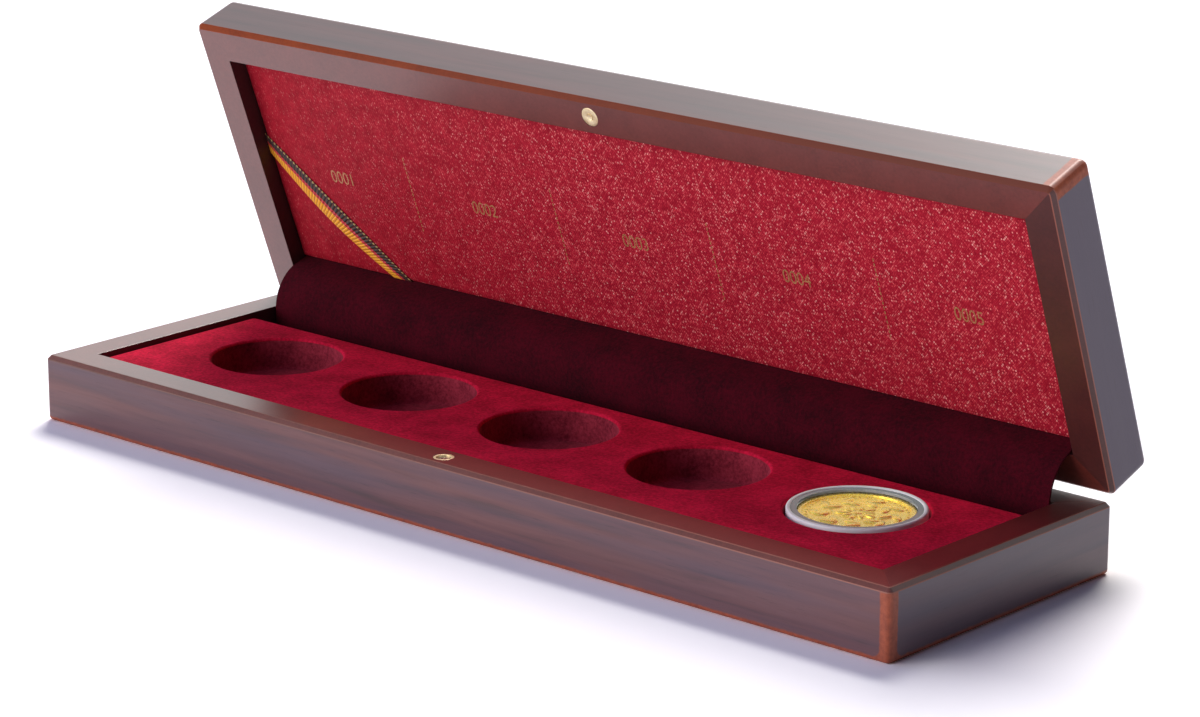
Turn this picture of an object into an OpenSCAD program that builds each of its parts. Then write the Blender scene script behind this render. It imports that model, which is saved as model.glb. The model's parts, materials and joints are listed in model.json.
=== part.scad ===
// Hinged presentation case for coins in round capsules.
// The base lies on z = 0, its length along x, its front at -y. The lid is drawn shut and then turned open.

/* [Case] */
// Outside length of the case
case_l = 280; // [266:1:340]
// Outside width of the case, front to back
case_w = 84; // [82:1:110]
// Height of the base, from its underside to its rim
base_h = 17.7; // [16.5:0.1:26]
// Height of the lid, from its rim to its top
lid_h = 14.6; // [12.5:0.1:22]
// Width of the rails at the rim
rail_w = 9.7; // [8.5:0.1:10.5]
// Chamfer of the outer arris along both rims
rim_chamfer = 1.05; // [0.4:0.05:1.5]
// Rounding of the base's lower and the lid's upper outer arris
edge_round = 1.2; // [0.5:0.1:2]
// Rounding of the upright corners
corner_round = 1.4; // [1.3:0.1:5]
// How far the panels are let into the rails
rebate_w = 4; // [2:0.5:5]
// Thickness of the bottom panel
base_panel_t = 3; // [2:0.1:3.5]
// Thickness of the felt under the bottom panel
felt_t = 0.8; // [0.5:0.1:1.2]
// Thickness of the lid's top panel
lid_panel_t = 4; // [3:0.1:5]

/* [Opening] */
// Angle of the open lid, measured from the shut lid
open_angle = 70; // [50:1:80]
// Gap between the two rims when the lid is shut
rim_gap = 0.25; // [0.2:0.05:0.4]
// How far the hinge axis lies behind the back face
axis_back = 0.7; // [0.6:0.1:1.2]

/* [Tray] */
// Depth of the tray's surface below the base's rim
tray_drop = 1.2; // [0.8:0.1:2]
// Wall of the flocked tray
tray_t = 1; // [0.8:0.1:1.4]
// Clearance between the tray and the rails
tray_fit = 0.4; // [0.3:0.1:0.6]
// Rounding of the tray's upper edges
tray_round = 1.2; // [0.6:0.1:2]
// Width of the channel behind the tray, into which the velvet strip folds
channel_w = 8.6; // [6:0.1:9.5]
// Number of pockets
pocket_count = 5; // [3:1:5]
// Distance between the pocket centres
pocket_pitch = 48.5; // [46:0.5:52]
// Distance of the pocket centres from the tray's back edge
pocket_back = 23; // [20.5:0.5:30]
// Depth of a pocket
pocket_depth = 8.2; // [7:0.1:9]
// Slope of a pocket's wall in degrees
pocket_draft = 5; // [4:0.5:9]
// Rounding of a pocket's mouth
pocket_round = 0.7; // [0.6:0.1:2]

/* [Coin and capsule] */
// Diameter of the capsule
capsule_d = 33.4; // [32.2:0.1:35]
// Height of the capsule
capsule_h = 6.2; // [5.8:0.1:6.6]
// How far the capsule stands above the tray
capsule_proud = 0.6; // [0.2:0.1:1]
// Clearance between the capsule's lower edge and the pocket's wall
capsule_fit = 0.2; // [0.15:0.05:0.3]
// Thickness of the capsule's clear windows
capsule_window = 0.9; // [0.8:0.1:1.3]
// Height of the lower half's rim
capsule_split = 3; // [2.6:0.1:3.2]
// How far the lower half's spigot stands above its rim
spigot_rise = 1.4; // [1:0.1:1.6]
// Chamfer of the capsule's outer arrises
capsule_edge = 0.5; // [0.3:0.1:0.8]
// Diameter of the coin
coin_d = 28; // [26:0.1:28.6]
// Thickness of the coin
coin_t = 1.65; // [1.2:0.05:2]
// Clearance of the coin and the spigot inside the capsule
coin_fit = 0.1; // [0.05:0.05:0.2]
// Room between the coin and the window above it
coin_head = 0.2; // [0.1:0.05:0.4]
// Width of the ledge on which the coin's edge rests
ledge_w = 1.2; // [0.8:0.1:2]

/* [Velvet strip and lining] */
// Thickness of the velvet strip
strip_t = 0.6; // [0.5:0.1:0.8]
// Gap between the strip and the rails' inner walls
strip_gap = 0.2; // [0.15:0.05:0.3]
// Gap between the strip's ends and the end rails
strip_end_gap = 0.8; // [0.5:0.1:2]
// Depth of the lining below the lid's rim
lining_drop = 4.3; // [3.6:0.1:5]
// Thickness of the lining board
lining_t = 2; // [1.5:0.1:2.5]
// Clearance round the lining board
lining_fit = 0.15; // [0.1:0.05:0.3]
// How much smaller the packing is than the board, on each side
packing_inset = 1; // [0.5:0.5:3]
// Width of the ribbon
ribbon_w = 4.5; // [3:0.1:6]
// Thickness of the ribbon
ribbon_t = 0.4; // [0.3:0.1:0.6]
// Distance of the ribbon's end on the left edge from the lining's back left corner
ribbon_rise = 36; // [20:1:50]
// Distance of the ribbon's end on the back edge from the lining's back left corner
ribbon_run = 38.5; // [20:1:60]

/* [Hinges] */
// Distance of each hinge's middle from its end of the case
hinge_inset = 55; // [40:1:75]
// Length of a hinge
hinge_l = 30; // [26:1:40]
// Thickness of a leaf
leaf_t = 0.8; // [0.6:0.1:1]
// How far a leaf reaches in from the back face
leaf_w = 6.5; // [5.5:0.1:7]
// Outside diameter of the knuckles
knuckle_d = 2.6; // [2.4:0.1:3]
// Length of each outer knuckle
knuckle_l = 5; // [4:0.5:6]
// Diameter of the hinge pin
pin_d = 1.2; // [1:0.1:1.4]
// Running clearance round the pin
pin_fit = 0.04; // [0.02:0.01:0.06]
// Clearance round a knuckle and between knuckles
knuckle_fit = 0.3; // [0.25:0.05:0.4]
// Diameter of the screw heads
screw_head_d = 2.8; // [2.4:0.1:3]
// Diameter of the screw shanks
screw_d = 1.4; // [1:0.1:1.6]
// Length of the screws
screw_l = 6; // [4:0.5:7]
// Width of the screws' slots
slot_w = 0.4; // [0.3:0.1:0.6]
// Depth of the screws' slots
slot_h = 0.3; // [0.2:0.1:0.4]
// Clearance round the screws
screw_fit = 0.05; // [0.03:0.01:0.1]
// Distance of a screw from the middle of its hinge
screw_x = 9; // [8:0.5:11]
// Distance of the screws from the leaf's inner edge
screw_edge = 2.4; // [2:0.1:2.8]

/* [Catch] */
// Outside diameter of the catch's ferrule and of its strike
catch_d = 5.2; // [4:0.1:6]
// Wall of the ferrule
ferrule_wall = 0.75; // [0.5:0.05:1]
// Depth of the ferrule in the base's front rail
ferrule_h = 3.6; // [3:0.1:5]
// How far the magnet lies below the rim
magnet_drop = 0.4; // [0.2:0.1:0.8]
// Thickness of the lid's strike
strike_t = 2.5; // [1.5:0.1:4]
// Bevel of the strike's rim
strike_bevel = 0.3; // [0.2:0.1:0.6]
// Clearance of the catch's pieces in their seats
catch_fit = 0.03; // [0.02:0.01:0.05]
// Distance of the catch from the front face
catch_y = 5; // [4.2:0.1:5.6]

/* [Hidden] */
$fn = 64;
// Overlap of a cutting shape beyond the face that it cuts
cut = 1;
inner_l = case_l - 2 * rail_w;
inner_w = case_w - 2 * rail_w;
rim_z = base_h + rim_gap;
lid_top_z = rim_z + lid_h;
axis_y = case_w / 2 + axis_back;
axis_z = base_h + rim_gap / 2;
floor_z = felt_t + base_panel_t;
tray_z = base_h - tray_drop;
tray_l = inner_l - 2 * tray_fit;
tray_front = -inner_w / 2 + tray_fit;
tray_back = inner_w / 2 - channel_w;
tray_w = tray_back - tray_front;
tray_h = tray_z - floor_z;
pocket_y = tray_back - pocket_back;
pocket_xs = [for (i = [0 : pocket_count - 1]) (i - (pocket_count - 1) / 2) * pocket_pitch];
capsule_r = capsule_d / 2;
capsule_z = tray_z + capsule_proud - capsule_h;
capsule_x = pocket_xs[pocket_count - 1];
seat_depth = capsule_h - capsule_proud;
pocket_r = capsule_r + capsule_fit + seat_depth * tan(pocket_draft);
pocket_floor_r = pocket_r - pocket_depth * tan(pocket_draft);
coin_r = coin_d / 2;
well_r = coin_r + coin_fit;
well_z = capsule_h - capsule_window - coin_head - coin_t;
ledge_r = coin_r - ledge_w;
spigot_r = (well_r + capsule_r) / 2;
spigot_h = capsule_split + spigot_rise;
strip_y = inner_w / 2 - strip_gap - strip_t / 2;
// Straight steps that make up the strip's bend
strip_steps = 20;
strip_l = inner_l - 2 * strip_end_gap;
lining_z = rim_z + lining_drop;
packing_z = lining_z + lining_t;
lining_l = inner_l - 2 * lining_fit;
lining_front = -inner_w / 2 + lining_fit;
lining_back = inner_w / 2 - strip_gap - strip_t - lining_fit;
lining_w = lining_back - lining_front;
hinge_x = case_l / 2 - hinge_inset;
knuckle_r = knuckle_d / 2;
pin_r = pin_d / 2;
leaf_front = case_w / 2 - leaf_w;
inner_knuckle_end = hinge_l / 2 - knuckle_l - knuckle_fit;
spring_end = inner_knuckle_end - knuckle_l + knuckle_fit / 2;
screw_y = leaf_front + screw_edge;
screw_head_h = (screw_head_d - screw_d) / 2;
catch_r = catch_d / 2;
magnet_r = catch_r - ferrule_wall - catch_fit;

// Turns what is drawn on the shut lid to the open pose
module lid_pose() {
    translate([0, axis_y, axis_z])
        rotate([-open_angle, 0, 0])
            translate([0, -axis_y, -axis_z])
                children();
}

// Lays a flat section, drawn in y and z, along x
module along_x(len) {
    translate([-len / 2, 0, 0])
        rotate([90, 0, 90])
            linear_extrude(len)
                children();
}

// A round bar along x, centred on the given point of the y-z plane, between two places on x
module bar_x(r, x0, x1, y, z) {
    translate([x0, y, z])
        rotate([0, 90, 0])
            cylinder(r = r, h = x1 - x0);
}

// The waste outside a rounded corner; the corner itself is at the origin, the material at +x, -y
module corner_waste(r) {
    difference() {
        translate([-r, -r])
            square(2 * r);
        translate([r, -r])
            circle(r = r);
    }
}

// Section of a rail: x inwards from the outer face, y from the rim at 0 to the far arris at h
module rail_section(h, rebate_h) {
    difference() {
        square([rail_w, h]);
        polygon([[-cut, rim_chamfer + cut], [rim_chamfer + cut, -cut], [-cut, -cut]]);
        translate([0, h])
            corner_waste(edge_round);
        translate([rail_w - rebate_w, h - rebate_h])
            square([rebate_w + cut, rebate_h + cut]);
    }
}

// A mitred rail along x with its outer face at y = 0, its rim at z = 0 and its body above the rim
module rail(len, h, rebate_h) {
    intersection() {
        union() {
            along_x(len - 2 * corner_round)
                rail_section(h, rebate_h);
            for (side = [-1, 1])
                translate([side * (len / 2 - corner_round), corner_round, 0])
                    rotate([0, 0, side > 0 ? -90 : 180])
                        rotate_extrude(angle = 90)
                            intersection() {
                                translate([corner_round, 0])
                                    mirror([1, 0])
                                        rail_section(h, rebate_h);
                                square([corner_round, h]);
                            }
        }
        translate([0, 0, -cut])
            linear_extrude(h + 2 * cut)
                polygon([[-len / 2 - cut, -cut], [len / 2 + cut, -cut],
                    [len / 2 - rail_w - cut, rail_w + cut], [-len / 2 + rail_w + cut, rail_w + cut]]);
    }
}

// A rail of the base: the rim is up
module base_rail(len) {
    translate([0, 0, base_h])
        mirror([0, 0, 1])
            rail(len, base_h, floor_z);
}

// A rail of the shut lid: the rim is down
module lid_rail(len) {
    translate([0, 0, rim_z])
        rail(len, lid_h, lid_panel_t);
}

module at_front() {
    translate([0, -case_w / 2, 0])
        children();
}

module at_back() {
    translate([0, case_w / 2, 0])
        rotate([0, 0, 180])
            children();
}

module at_left() {
    translate([-case_l / 2, 0, 0])
        rotate([0, 0, -90])
            children();
}

module at_right() {
    translate([case_l / 2, 0, 0])
        rotate([0, 0, 90])
            children();
}

// A flat panel let into the rails' rebates
module panel(z, t) {
    translate([-inner_l / 2 - rebate_w, -inner_w / 2 - rebate_w, z])
        cube([inner_l + 2 * rebate_w, inner_w + 2 * rebate_w, t]);
}

// Places of the screws, on both hinges
module at_screws() {
    for (hinge = [-1, 1], side = [-1, 1])
        translate([hinge * hinge_x + side * screw_x, screw_y, 0])
            children();
}

// Pilot hole of a screw, downwards from z = 0
module pilot() {
    translate([0, 0, -leaf_t - screw_l - screw_fit])
        cylinder(r = screw_d / 2 + screw_fit, h = leaf_t + screw_l + screw_fit + cut);
}

// A countersunk screw whose head is flush with z = 0
module screw() {
    difference() {
        rotate_extrude()
            polygon([[0, 0], [screw_head_d / 2, 0], [screw_d / 2, -screw_head_h],
                [screw_d / 2, -screw_l + screw_d], [0, -screw_l]]);
        translate([-screw_head_d, -slot_w / 2, -slot_h])
            cube([2 * screw_head_d, slot_w, slot_h + cut]);
    }
}

// Countersunk hole of a leaf
module countersink() {
    rotate_extrude()
        polygon([[0, cut], [screw_head_d / 2 + screw_fit + cut, cut],
            [screw_d / 2 + screw_fit, -screw_head_h],
            [screw_d / 2 + screw_fit, -leaf_t - cut], [0, -leaf_t - cut]]);
}

// Recesses for both hinges in a back rail whose rim is at z, its body on the given side of the rim
module hinge_seats(z, up) {
    for (hinge = [-1, 1]) {
        translate([hinge * hinge_x - hinge_l / 2 - screw_fit, leaf_front - screw_fit,
            up > 0 ? z - cut : z - leaf_t])
            cube([hinge_l + 2 * screw_fit, leaf_w + cut, leaf_t + cut]);
        bar_x(knuckle_r + knuckle_fit, hinge * hinge_x - hinge_l / 2 - knuckle_fit,
            hinge * hinge_x + hinge_l / 2 + knuckle_fit, axis_y, axis_z);
    }
    at_screws()
        translate([0, 0, z])
            mirror([0, 0, up > 0 ? 1 : 0])
                pilot();
}

// Plate, knuckles and holes of one leaf; outer is true for the leaf that has the outer knuckles
module leaf(x, z, up, outer) {
    knuckles = outer
        ? [[-hinge_l / 2, -hinge_l / 2 + knuckle_l], [hinge_l / 2 - knuckle_l, hinge_l / 2]]
        : [[-inner_knuckle_end, -spring_end - knuckle_fit], [spring_end + knuckle_fit, inner_knuckle_end]];
    spaces = outer
        ? [[-hinge_l / 2 + knuckle_l, hinge_l / 2 - knuckle_l]]
        : [[-hinge_l / 2 - cut, -inner_knuckle_end], [-spring_end - knuckle_fit, spring_end + knuckle_fit],
            [inner_knuckle_end, hinge_l / 2 + cut]];
    difference() {
        union() {
            translate([x - hinge_l / 2, leaf_front, up > 0 ? z : z - leaf_t])
                cube([hinge_l, axis_y - leaf_front, leaf_t]);
            for (k = knuckles)
                bar_x(knuckle_r, x + k[0], x + k[1], axis_y, axis_z);
        }
        for (s = spaces)
            bar_x(knuckle_r + knuckle_fit, x + s[0], x + s[1], axis_y, axis_z);
        bar_x(pin_r + pin_fit, x - hinge_l, x + hinge_l, axis_y, axis_z);
        for (side = [-1, 1])
            translate([x + side * screw_x, screw_y, z])
                mirror([0, 0, up > 0 ? 1 : 0])
                    countersink();
    }
}

module base_front_rail() {
    color("#6f3f35")
        difference() {
            at_front()
                base_rail(case_l);
            translate([0, -case_w / 2 + catch_y, base_h - ferrule_h])
                cylinder(r = catch_r + catch_fit, h = ferrule_h + cut);
        }
}

module base_back_rail() {
    color("#6f3f35")
        difference() {
            at_back()
                base_rail(case_l);
            hinge_seats(base_h, -1);
        }
}

module base_left_rail() {
    color("#6f3f35")
        at_left()
            base_rail(case_w);
}

module base_right_rail() {
    color("#6f3f35")
        at_right()
            base_rail(case_w);
}

module base_bottom_panel() {
    color("#8a6b4c")
        panel(felt_t, base_panel_t);
}

module base_felt() {
    color("#2d1a1c")
        panel(0, felt_t);
}

// A flat section with rounded upper corners, its lower edge on y = 0
module rounded_top(w, h) {
    difference() {
        translate([-w / 2, 0])
            square([w, h]);
        translate([-w / 2, h])
            corner_waste(tray_round);
        mirror([1, 0])
            translate([-w / 2, h])
                corner_waste(tray_round);
    }
}

// One pocket with a sloped wall and a rounded mouth, below the tray's surface at z = 0
module pocket() {
    slope = tan(pocket_draft);
    mouth_r = pocket_r - pocket_round * slope + pocket_round / cos(pocket_draft);
    tangent = pocket_round * (1 - sin(pocket_draft));
    rotate_extrude() {
        polygon([[0, -pocket_depth], [pocket_floor_r, -pocket_depth],
            [pocket_r + cut * slope, cut], [0, cut]]);
        difference() {
            polygon([[pocket_r - tangent * slope, -tangent], [mouth_r, -pocket_round],
                [mouth_r, cut], [pocket_r, cut]]);
            translate([mouth_r, -pocket_round])
                circle(r = pocket_round);
        }
    }
}

// The outside of a pocket's shell, under the tray
module pocket_boss() {
    translate([0, 0, -pocket_depth - tray_t])
        cylinder(r1 = pocket_floor_r + tray_t, r2 = pocket_r + tray_t, h = pocket_depth + tray_t);
}

module coin_tray() {
    middle_y = (tray_front + tray_back) / 2;
    color("#8f1022")
        difference() {
            translate([0, middle_y, floor_z])
                intersection() {
                    along_x(tray_l)
                        rounded_top(tray_w, tray_h);
                    rotate([0, 0, 90])
                        along_x(tray_w)
                            rounded_top(tray_l, tray_h);
                }
            for (x = pocket_xs)
                translate([x, pocket_y, tray_z])
                    pocket();
            difference() {
                translate([-tray_l / 2 + tray_t, tray_front + tray_t, floor_z - cut])
                    cube([tray_l - 2 * tray_t, tray_w - 2 * tray_t, tray_h - tray_t - tray_round / 2 + cut]);
                for (x = pocket_xs)
                    translate([x, pocket_y, tray_z])
                        pocket_boss();
            }
        }
}

// A point of the y-z plane, drawn on the shut lid, turned towards the open pose
function turned(point, angle) =
    let (y = point[0] - axis_y, z = point[1] - axis_z)
    [axis_y + y * cos(angle) + z * sin(angle), axis_z - y * sin(angle) + z * cos(angle)];

// One side of the velvet strip's section: up the base's back rail, round the hinge axis and into the lid
function strip_side(y) = [
    [y, floor_z],
    for (i = [0 : strip_steps]) turned([y, axis_z], open_angle * i / strip_steps),
    turned([y, packing_z], open_angle)];

function reversed(list) = [for (i = [len(list) - 1 : -1 : 0]) list[i]];

module velvet_strip() {
    color("#3d0c18")
        along_x(strip_l)
            polygon(concat(strip_side(strip_y - strip_t / 2), reversed(strip_side(strip_y + strip_t / 2))));
}

module catch_ferrule() {
    color("#c9a860")
        translate([0, -case_w / 2 + catch_y, base_h - ferrule_h])
            difference() {
                cylinder(r = catch_r, h = ferrule_h);
                translate([0, 0, -cut])
                    cylinder(r = catch_r - ferrule_wall, h = ferrule_h + 2 * cut);
            }
}

module catch_magnet() {
    color("#b9b4a6")
        translate([0, -case_w / 2 + catch_y, base_h - ferrule_h])
            cylinder(r = magnet_r, h = ferrule_h - magnet_drop);
}

module left_hinge_base_leaf() {
    color("#b99a58")
        leaf(-hinge_x, base_h, -1, true);
}

module right_hinge_base_leaf() {
    color("#b99a58")
        leaf(hinge_x, base_h, -1, true);
}

// A hinge pin as long as its hinge
module hinge_pin(x) {
    color("#9a9a9a")
        bar_x(pin_r, x - hinge_l / 2, x + hinge_l / 2, axis_y, axis_z);
}

module left_hinge_pin() {
    hinge_pin(-hinge_x);
}

module right_hinge_pin() {
    hinge_pin(hinge_x);
}

// Space of the coiled spring that sits on the pin between the inner knuckles
module hinge_spring(x) {
    color("#808487")
        difference() {
            bar_x(knuckle_r, x - spring_end, x + spring_end, axis_y, axis_z);
            bar_x(pin_r + 2 * pin_fit, x - hinge_l, x + hinge_l, axis_y, axis_z);
        }
}

module left_hinge_spring() {
    hinge_spring(-hinge_x);
}

module right_hinge_spring() {
    hinge_spring(hinge_x);
}

module base_hinge_screws() {
    color("#b99a58")
        at_screws()
            translate([0, 0, base_h])
                screw();
}

module lid_front_rail() {
    color("#6f3f35")
        lid_pose()
            difference() {
                at_front()
                    lid_rail(case_l);
                translate([0, -case_w / 2 + catch_y, rim_z - cut])
                    cylinder(r = catch_r + catch_fit, h = strike_t + cut);
            }
}

module lid_back_rail() {
    color("#6f3f35")
        lid_pose()
            difference() {
                at_back()
                    lid_rail(case_l);
                hinge_seats(rim_z, 1);
            }
}

module lid_left_rail() {
    color("#6f3f35")
        lid_pose()
            at_left()
                lid_rail(case_w);
}

module lid_right_rail() {
    color("#6f3f35")
        lid_pose()
            at_right()
                lid_rail(case_w);
}

module lid_top_panel() {
    color("#6f3f35")
        lid_pose()
            panel(lid_top_z - lid_panel_t, lid_panel_t);
}

// A sheet as large as the lining, less an inset on each side
module lining_sheet(z, t, inset) {
    translate([-lining_l / 2 + inset, lining_front + inset, z])
        cube([lining_l - 2 * inset, lining_w - 2 * inset, t]);
}

module lining_packing() {
    color("#d8d2c4")
        lid_pose()
            lining_sheet(packing_z, lid_top_z - lid_panel_t - packing_z, packing_inset);
}

module lining_board() {
    color("#a8182a")
        lid_pose()
            lining_sheet(lining_z, lining_t, 0);
}

// The ribbon crosses the back left corner of the lining, which cuts off its ends
module ribbon() {
    corner = [-lining_l / 2, lining_back];
    span = norm([ribbon_run, ribbon_rise]);
    color("#c08a2a")
        lid_pose()
            intersection() {
                translate([corner[0] + ribbon_run / 2, corner[1] - ribbon_rise / 2, lining_z - ribbon_t])
                    rotate([0, 0, atan2(ribbon_rise, ribbon_run)])
                        translate([-span, -ribbon_w / 2, 0])
                            cube([2 * span, ribbon_w, ribbon_t]);
                lining_sheet(lining_z - ribbon_t - cut, ribbon_t + 2 * cut, 0);
            }
}

module catch_strike() {
    color("#c9a860")
        lid_pose()
            translate([0, -case_w / 2 + catch_y, rim_z])
                rotate_extrude()
                    polygon([[0, 0], [catch_r - strike_bevel, 0], [catch_r, strike_bevel],
                        [catch_r, strike_t], [0, strike_t]]);
}

module left_hinge_lid_leaf() {
    color("#b99a58")
        lid_pose()
            leaf(-hinge_x, rim_z, 1, false);
}

module right_hinge_lid_leaf() {
    color("#b99a58")
        lid_pose()
            leaf(hinge_x, rim_z, 1, false);
}

module lid_hinge_screws() {
    color("#b99a58")
        lid_pose()
            at_screws()
                translate([0, 0, rim_z])
                    mirror([0, 0, 1])
                        screw();
}

// Turns a section of the capsule or the coin about the middle of the last pocket
module in_last_pocket() {
    translate([capsule_x, pocket_y, capsule_z])
        rotate_extrude()
            children();
}

module capsule_base() {
    color("#d9dde0", 0.5)
        in_last_pocket()
            polygon([[0, 0], [capsule_r - capsule_edge, 0], [capsule_r, capsule_edge],
                [capsule_r, capsule_split], [spigot_r, capsule_split], [spigot_r, spigot_h],
                [well_r, spigot_h], [well_r, well_z], [ledge_r, well_z],
                [ledge_r, capsule_window], [0, capsule_window]]);
}

module capsule_cap() {
    roof = capsule_h - capsule_window;
    color("#e6eaec", 0.5)
        in_last_pocket()
            polygon([[0, roof], [well_r, roof], [well_r, spigot_h + coin_fit],
                [spigot_r + coin_fit, spigot_h + coin_fit], [spigot_r + coin_fit, capsule_split],
                [capsule_r, capsule_split], [capsule_r, capsule_h - capsule_edge],
                [capsule_r - capsule_edge, capsule_h], [0, capsule_h]]);
}

module coin() {
    color("#d9b23c")
        in_last_pocket()
            translate([0, well_z])
                square([coin_r, coin_t]);
}

base_front_rail();
base_back_rail();
base_left_rail();
base_right_rail();
base_bottom_panel();
base_felt();
coin_tray();
velvet_strip();
catch_ferrule();
catch_magnet();
left_hinge_base_leaf();
right_hinge_base_leaf();
left_hinge_pin();
right_hinge_pin();
left_hinge_spring();
right_hinge_spring();
base_hinge_screws();
lid_front_rail();
lid_back_rail();
lid_left_rail();
lid_right_rail();
lid_top_panel();
lining_packing();
lining_board();
ribbon();
catch_strike();
left_hinge_lid_leaf();
right_hinge_lid_leaf();
lid_hinge_screws();
capsule_base();
capsule_cap();
coin();
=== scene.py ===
# %% [markdown]
# A presentation case for coins, open on a white table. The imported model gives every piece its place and
# size in metres; this lesson dresses it: rails with a wood-look foil, a flocked tray, a velvet strip,
# a satin lining, a ribbon, small brass fittings, and a gold coin in a clear capsule.

# %% Load the frame
import json
import math

import bmesh
import bpy
from mathutils import Euler, Matrix, Vector, noise


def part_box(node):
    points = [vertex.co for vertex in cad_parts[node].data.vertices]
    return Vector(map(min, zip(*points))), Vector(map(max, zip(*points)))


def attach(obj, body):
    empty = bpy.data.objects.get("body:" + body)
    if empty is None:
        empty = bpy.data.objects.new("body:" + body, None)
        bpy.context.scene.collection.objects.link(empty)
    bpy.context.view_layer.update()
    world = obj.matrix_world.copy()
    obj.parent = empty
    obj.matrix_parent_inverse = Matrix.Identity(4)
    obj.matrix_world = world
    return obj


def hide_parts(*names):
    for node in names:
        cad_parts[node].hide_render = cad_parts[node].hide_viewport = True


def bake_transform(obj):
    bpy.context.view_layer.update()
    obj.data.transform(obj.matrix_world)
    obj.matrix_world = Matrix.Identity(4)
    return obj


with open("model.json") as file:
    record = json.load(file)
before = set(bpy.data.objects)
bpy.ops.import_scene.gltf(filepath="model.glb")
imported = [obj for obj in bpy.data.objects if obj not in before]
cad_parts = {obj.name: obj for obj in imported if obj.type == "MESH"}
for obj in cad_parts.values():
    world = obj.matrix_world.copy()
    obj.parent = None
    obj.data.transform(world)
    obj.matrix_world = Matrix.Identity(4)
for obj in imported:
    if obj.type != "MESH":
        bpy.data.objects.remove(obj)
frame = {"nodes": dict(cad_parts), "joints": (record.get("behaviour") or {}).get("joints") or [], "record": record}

MM = 0.001
QUARTER = math.pi / 2


def in_mm(values):
    """Lengths in millimetres, rounded for printing."""
    return [round(v / MM, 1) for v in values]


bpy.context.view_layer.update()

# %% [markdown]
# The lid is easiest to model shut, where its edges run along the axes. The frame says where the hinge
# axis lies and how far the lid stands open, so one matrix turns a shut piece open, and its inverse
# gives the boxes of the lid's solids as if they were shut.

# %% The lid's turn
lid_hinge = next(joint for joint in frame["joints"] if joint["name"] == "lid_hinge")
hinge_point = Vector(lid_hinge["pos_m"])
lid_lean = math.radians(lid_hinge["range_deg"][1])


def about_hinge(angle):
    """The turn about the hinge axis by an angle."""
    there = Matrix.Translation(hinge_point)
    return there @ Matrix.Rotation(angle, 4, "X") @ there.inverted()


open_turn = about_hinge(-lid_lean)
shut_turn = open_turn.inverted()


def shut_box(node):
    """Lowest and highest corner of a lid node, turned back to the shut lid."""
    points = [shut_turn @ v.co for v in frame["nodes"][node].data.vertices]
    low = Vector(min(p[i] for p in points) for i in range(3))
    high = Vector(max(p[i] for p in points) for i in range(3))
    return low, high


def turn_open(piece):
    """Turns a lid piece that was modelled shut, in its mesh, to where the open lid has it."""
    piece.data.transform(open_turn)
    piece.data.update()


print("hinge axis in mm:", in_mm(hinge_point), "lean in degrees:", lid_hinge["range_deg"][1])

# %% [markdown]
# The camera stands in front, to the right and a little above, far off with a long lens, which keeps the
# long edges nearly parallel. Its values were fitted to the edges of the case in the picture.

# %% Camera
PICTURE_W = 1200
FOCAL_PX = 4076.2
CAMERA_AZIMUTH = math.radians(41.74)
CAMERA_RISE = math.radians(15.91)
CAMERA_ROLL = 0.0017
CAMERA_AIM = Vector((-71.0, 99.1, 0)) * MM
CAMERA_AWAY = 1130.5 * MM
CAMERA_SIGHT = 20
SENSOR_W = 36

bpy.ops.object.select_all(action="DESELECT")
bpy.ops.object.camera_add()
camera = bpy.context.object
camera.data.sensor_width = SENSOR_W
camera.data.sensor_fit = "HORIZONTAL"
camera.data.lens = SENSOR_W * FOCAL_PX / PICTURE_W
camera.data.clip_end = CAMERA_SIGHT
camera_turn = Euler((QUARTER - CAMERA_RISE, 0, CAMERA_AZIMUTH)).to_matrix()
camera_turn = camera_turn @ Matrix.Rotation(CAMERA_ROLL, 3, "Z")
camera.rotation_euler = camera_turn.to_euler()
camera.location = CAMERA_AIM + camera_turn @ Vector((0, 0, CAMERA_AWAY))
bpy.context.scene.camera = camera
print("camera at mm:", in_mm(camera.location), "lens:", round(camera.data.lens, 1))

# %% [markdown]
# Nodes are added by one small function: the kind of node, what goes into its sockets, and its settings.
# A socket takes a value, an output, or a node, which stands for its first output. Colours are written as
# sRGB hex, as a picture shows them, and one function turns them to the linear values of shaders.

# %% Node and colour helpers
def linear(code):
    """A hex colour such as #7a1020 as linear red, green, blue and alpha."""
    parts = [int(code[i:i + 2], 16) / 255 for i in (1, 3, 5)]
    return [c / 12.92 if c <= 0.04045 else ((c + 0.055) / 1.055) ** 2.4 for c in parts] + [1.0]


def add(tree, kind, inputs=None, **settings):
    """Adds a shader node; inputs maps its sockets to values, outputs, or nodes for their first output."""
    node = tree.nodes.new("ShaderNode" + kind)
    for key, value in settings.items():
        setattr(node, key, value)
    for key, value in (inputs or {}).items():
        if isinstance(value, bpy.types.Node):
            value = value.outputs[0]
        if isinstance(value, bpy.types.NodeSocket):
            tree.links.new(value, node.inputs[key])
        else:
            node.inputs[key].default_value = value
    return node


def new_material(name):
    """A node material with nothing in it yet, as (material, tree)."""
    material = bpy.data.materials.new(name)
    material.use_nodes = True
    material.node_tree.nodes.clear()
    return material, material.node_tree


def set_ramp(node, *stops):
    """Gives a colour ramp its stops, each a place from 0 to 1 and a hex colour."""
    elements = node.color_ramp.elements
    while len(elements) < len(stops):
        elements.new(1)
    for element, (place, code) in zip(elements, stops):
        element.position = place
        element.color = linear(code)


def seen_rays(tree):
    """A node that gives 1 for camera, mirror and glass rays, and 0 for light on dull surfaces."""
    path = add(tree, "LightPath")
    seen = add(tree, "Math", {
        0: path.outputs["Is Camera Ray"], 1: path.outputs["Is Glossy Ray"]}, operation="ADD")
    seen = add(tree, "Math", {
        0: seen, 1: path.outputs["Is Transmission Ray"]}, operation="ADD", use_clamp=True)
    return seen


print("the grey #808080 in linear light:", round(linear("#808080")[0], 3))

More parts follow.
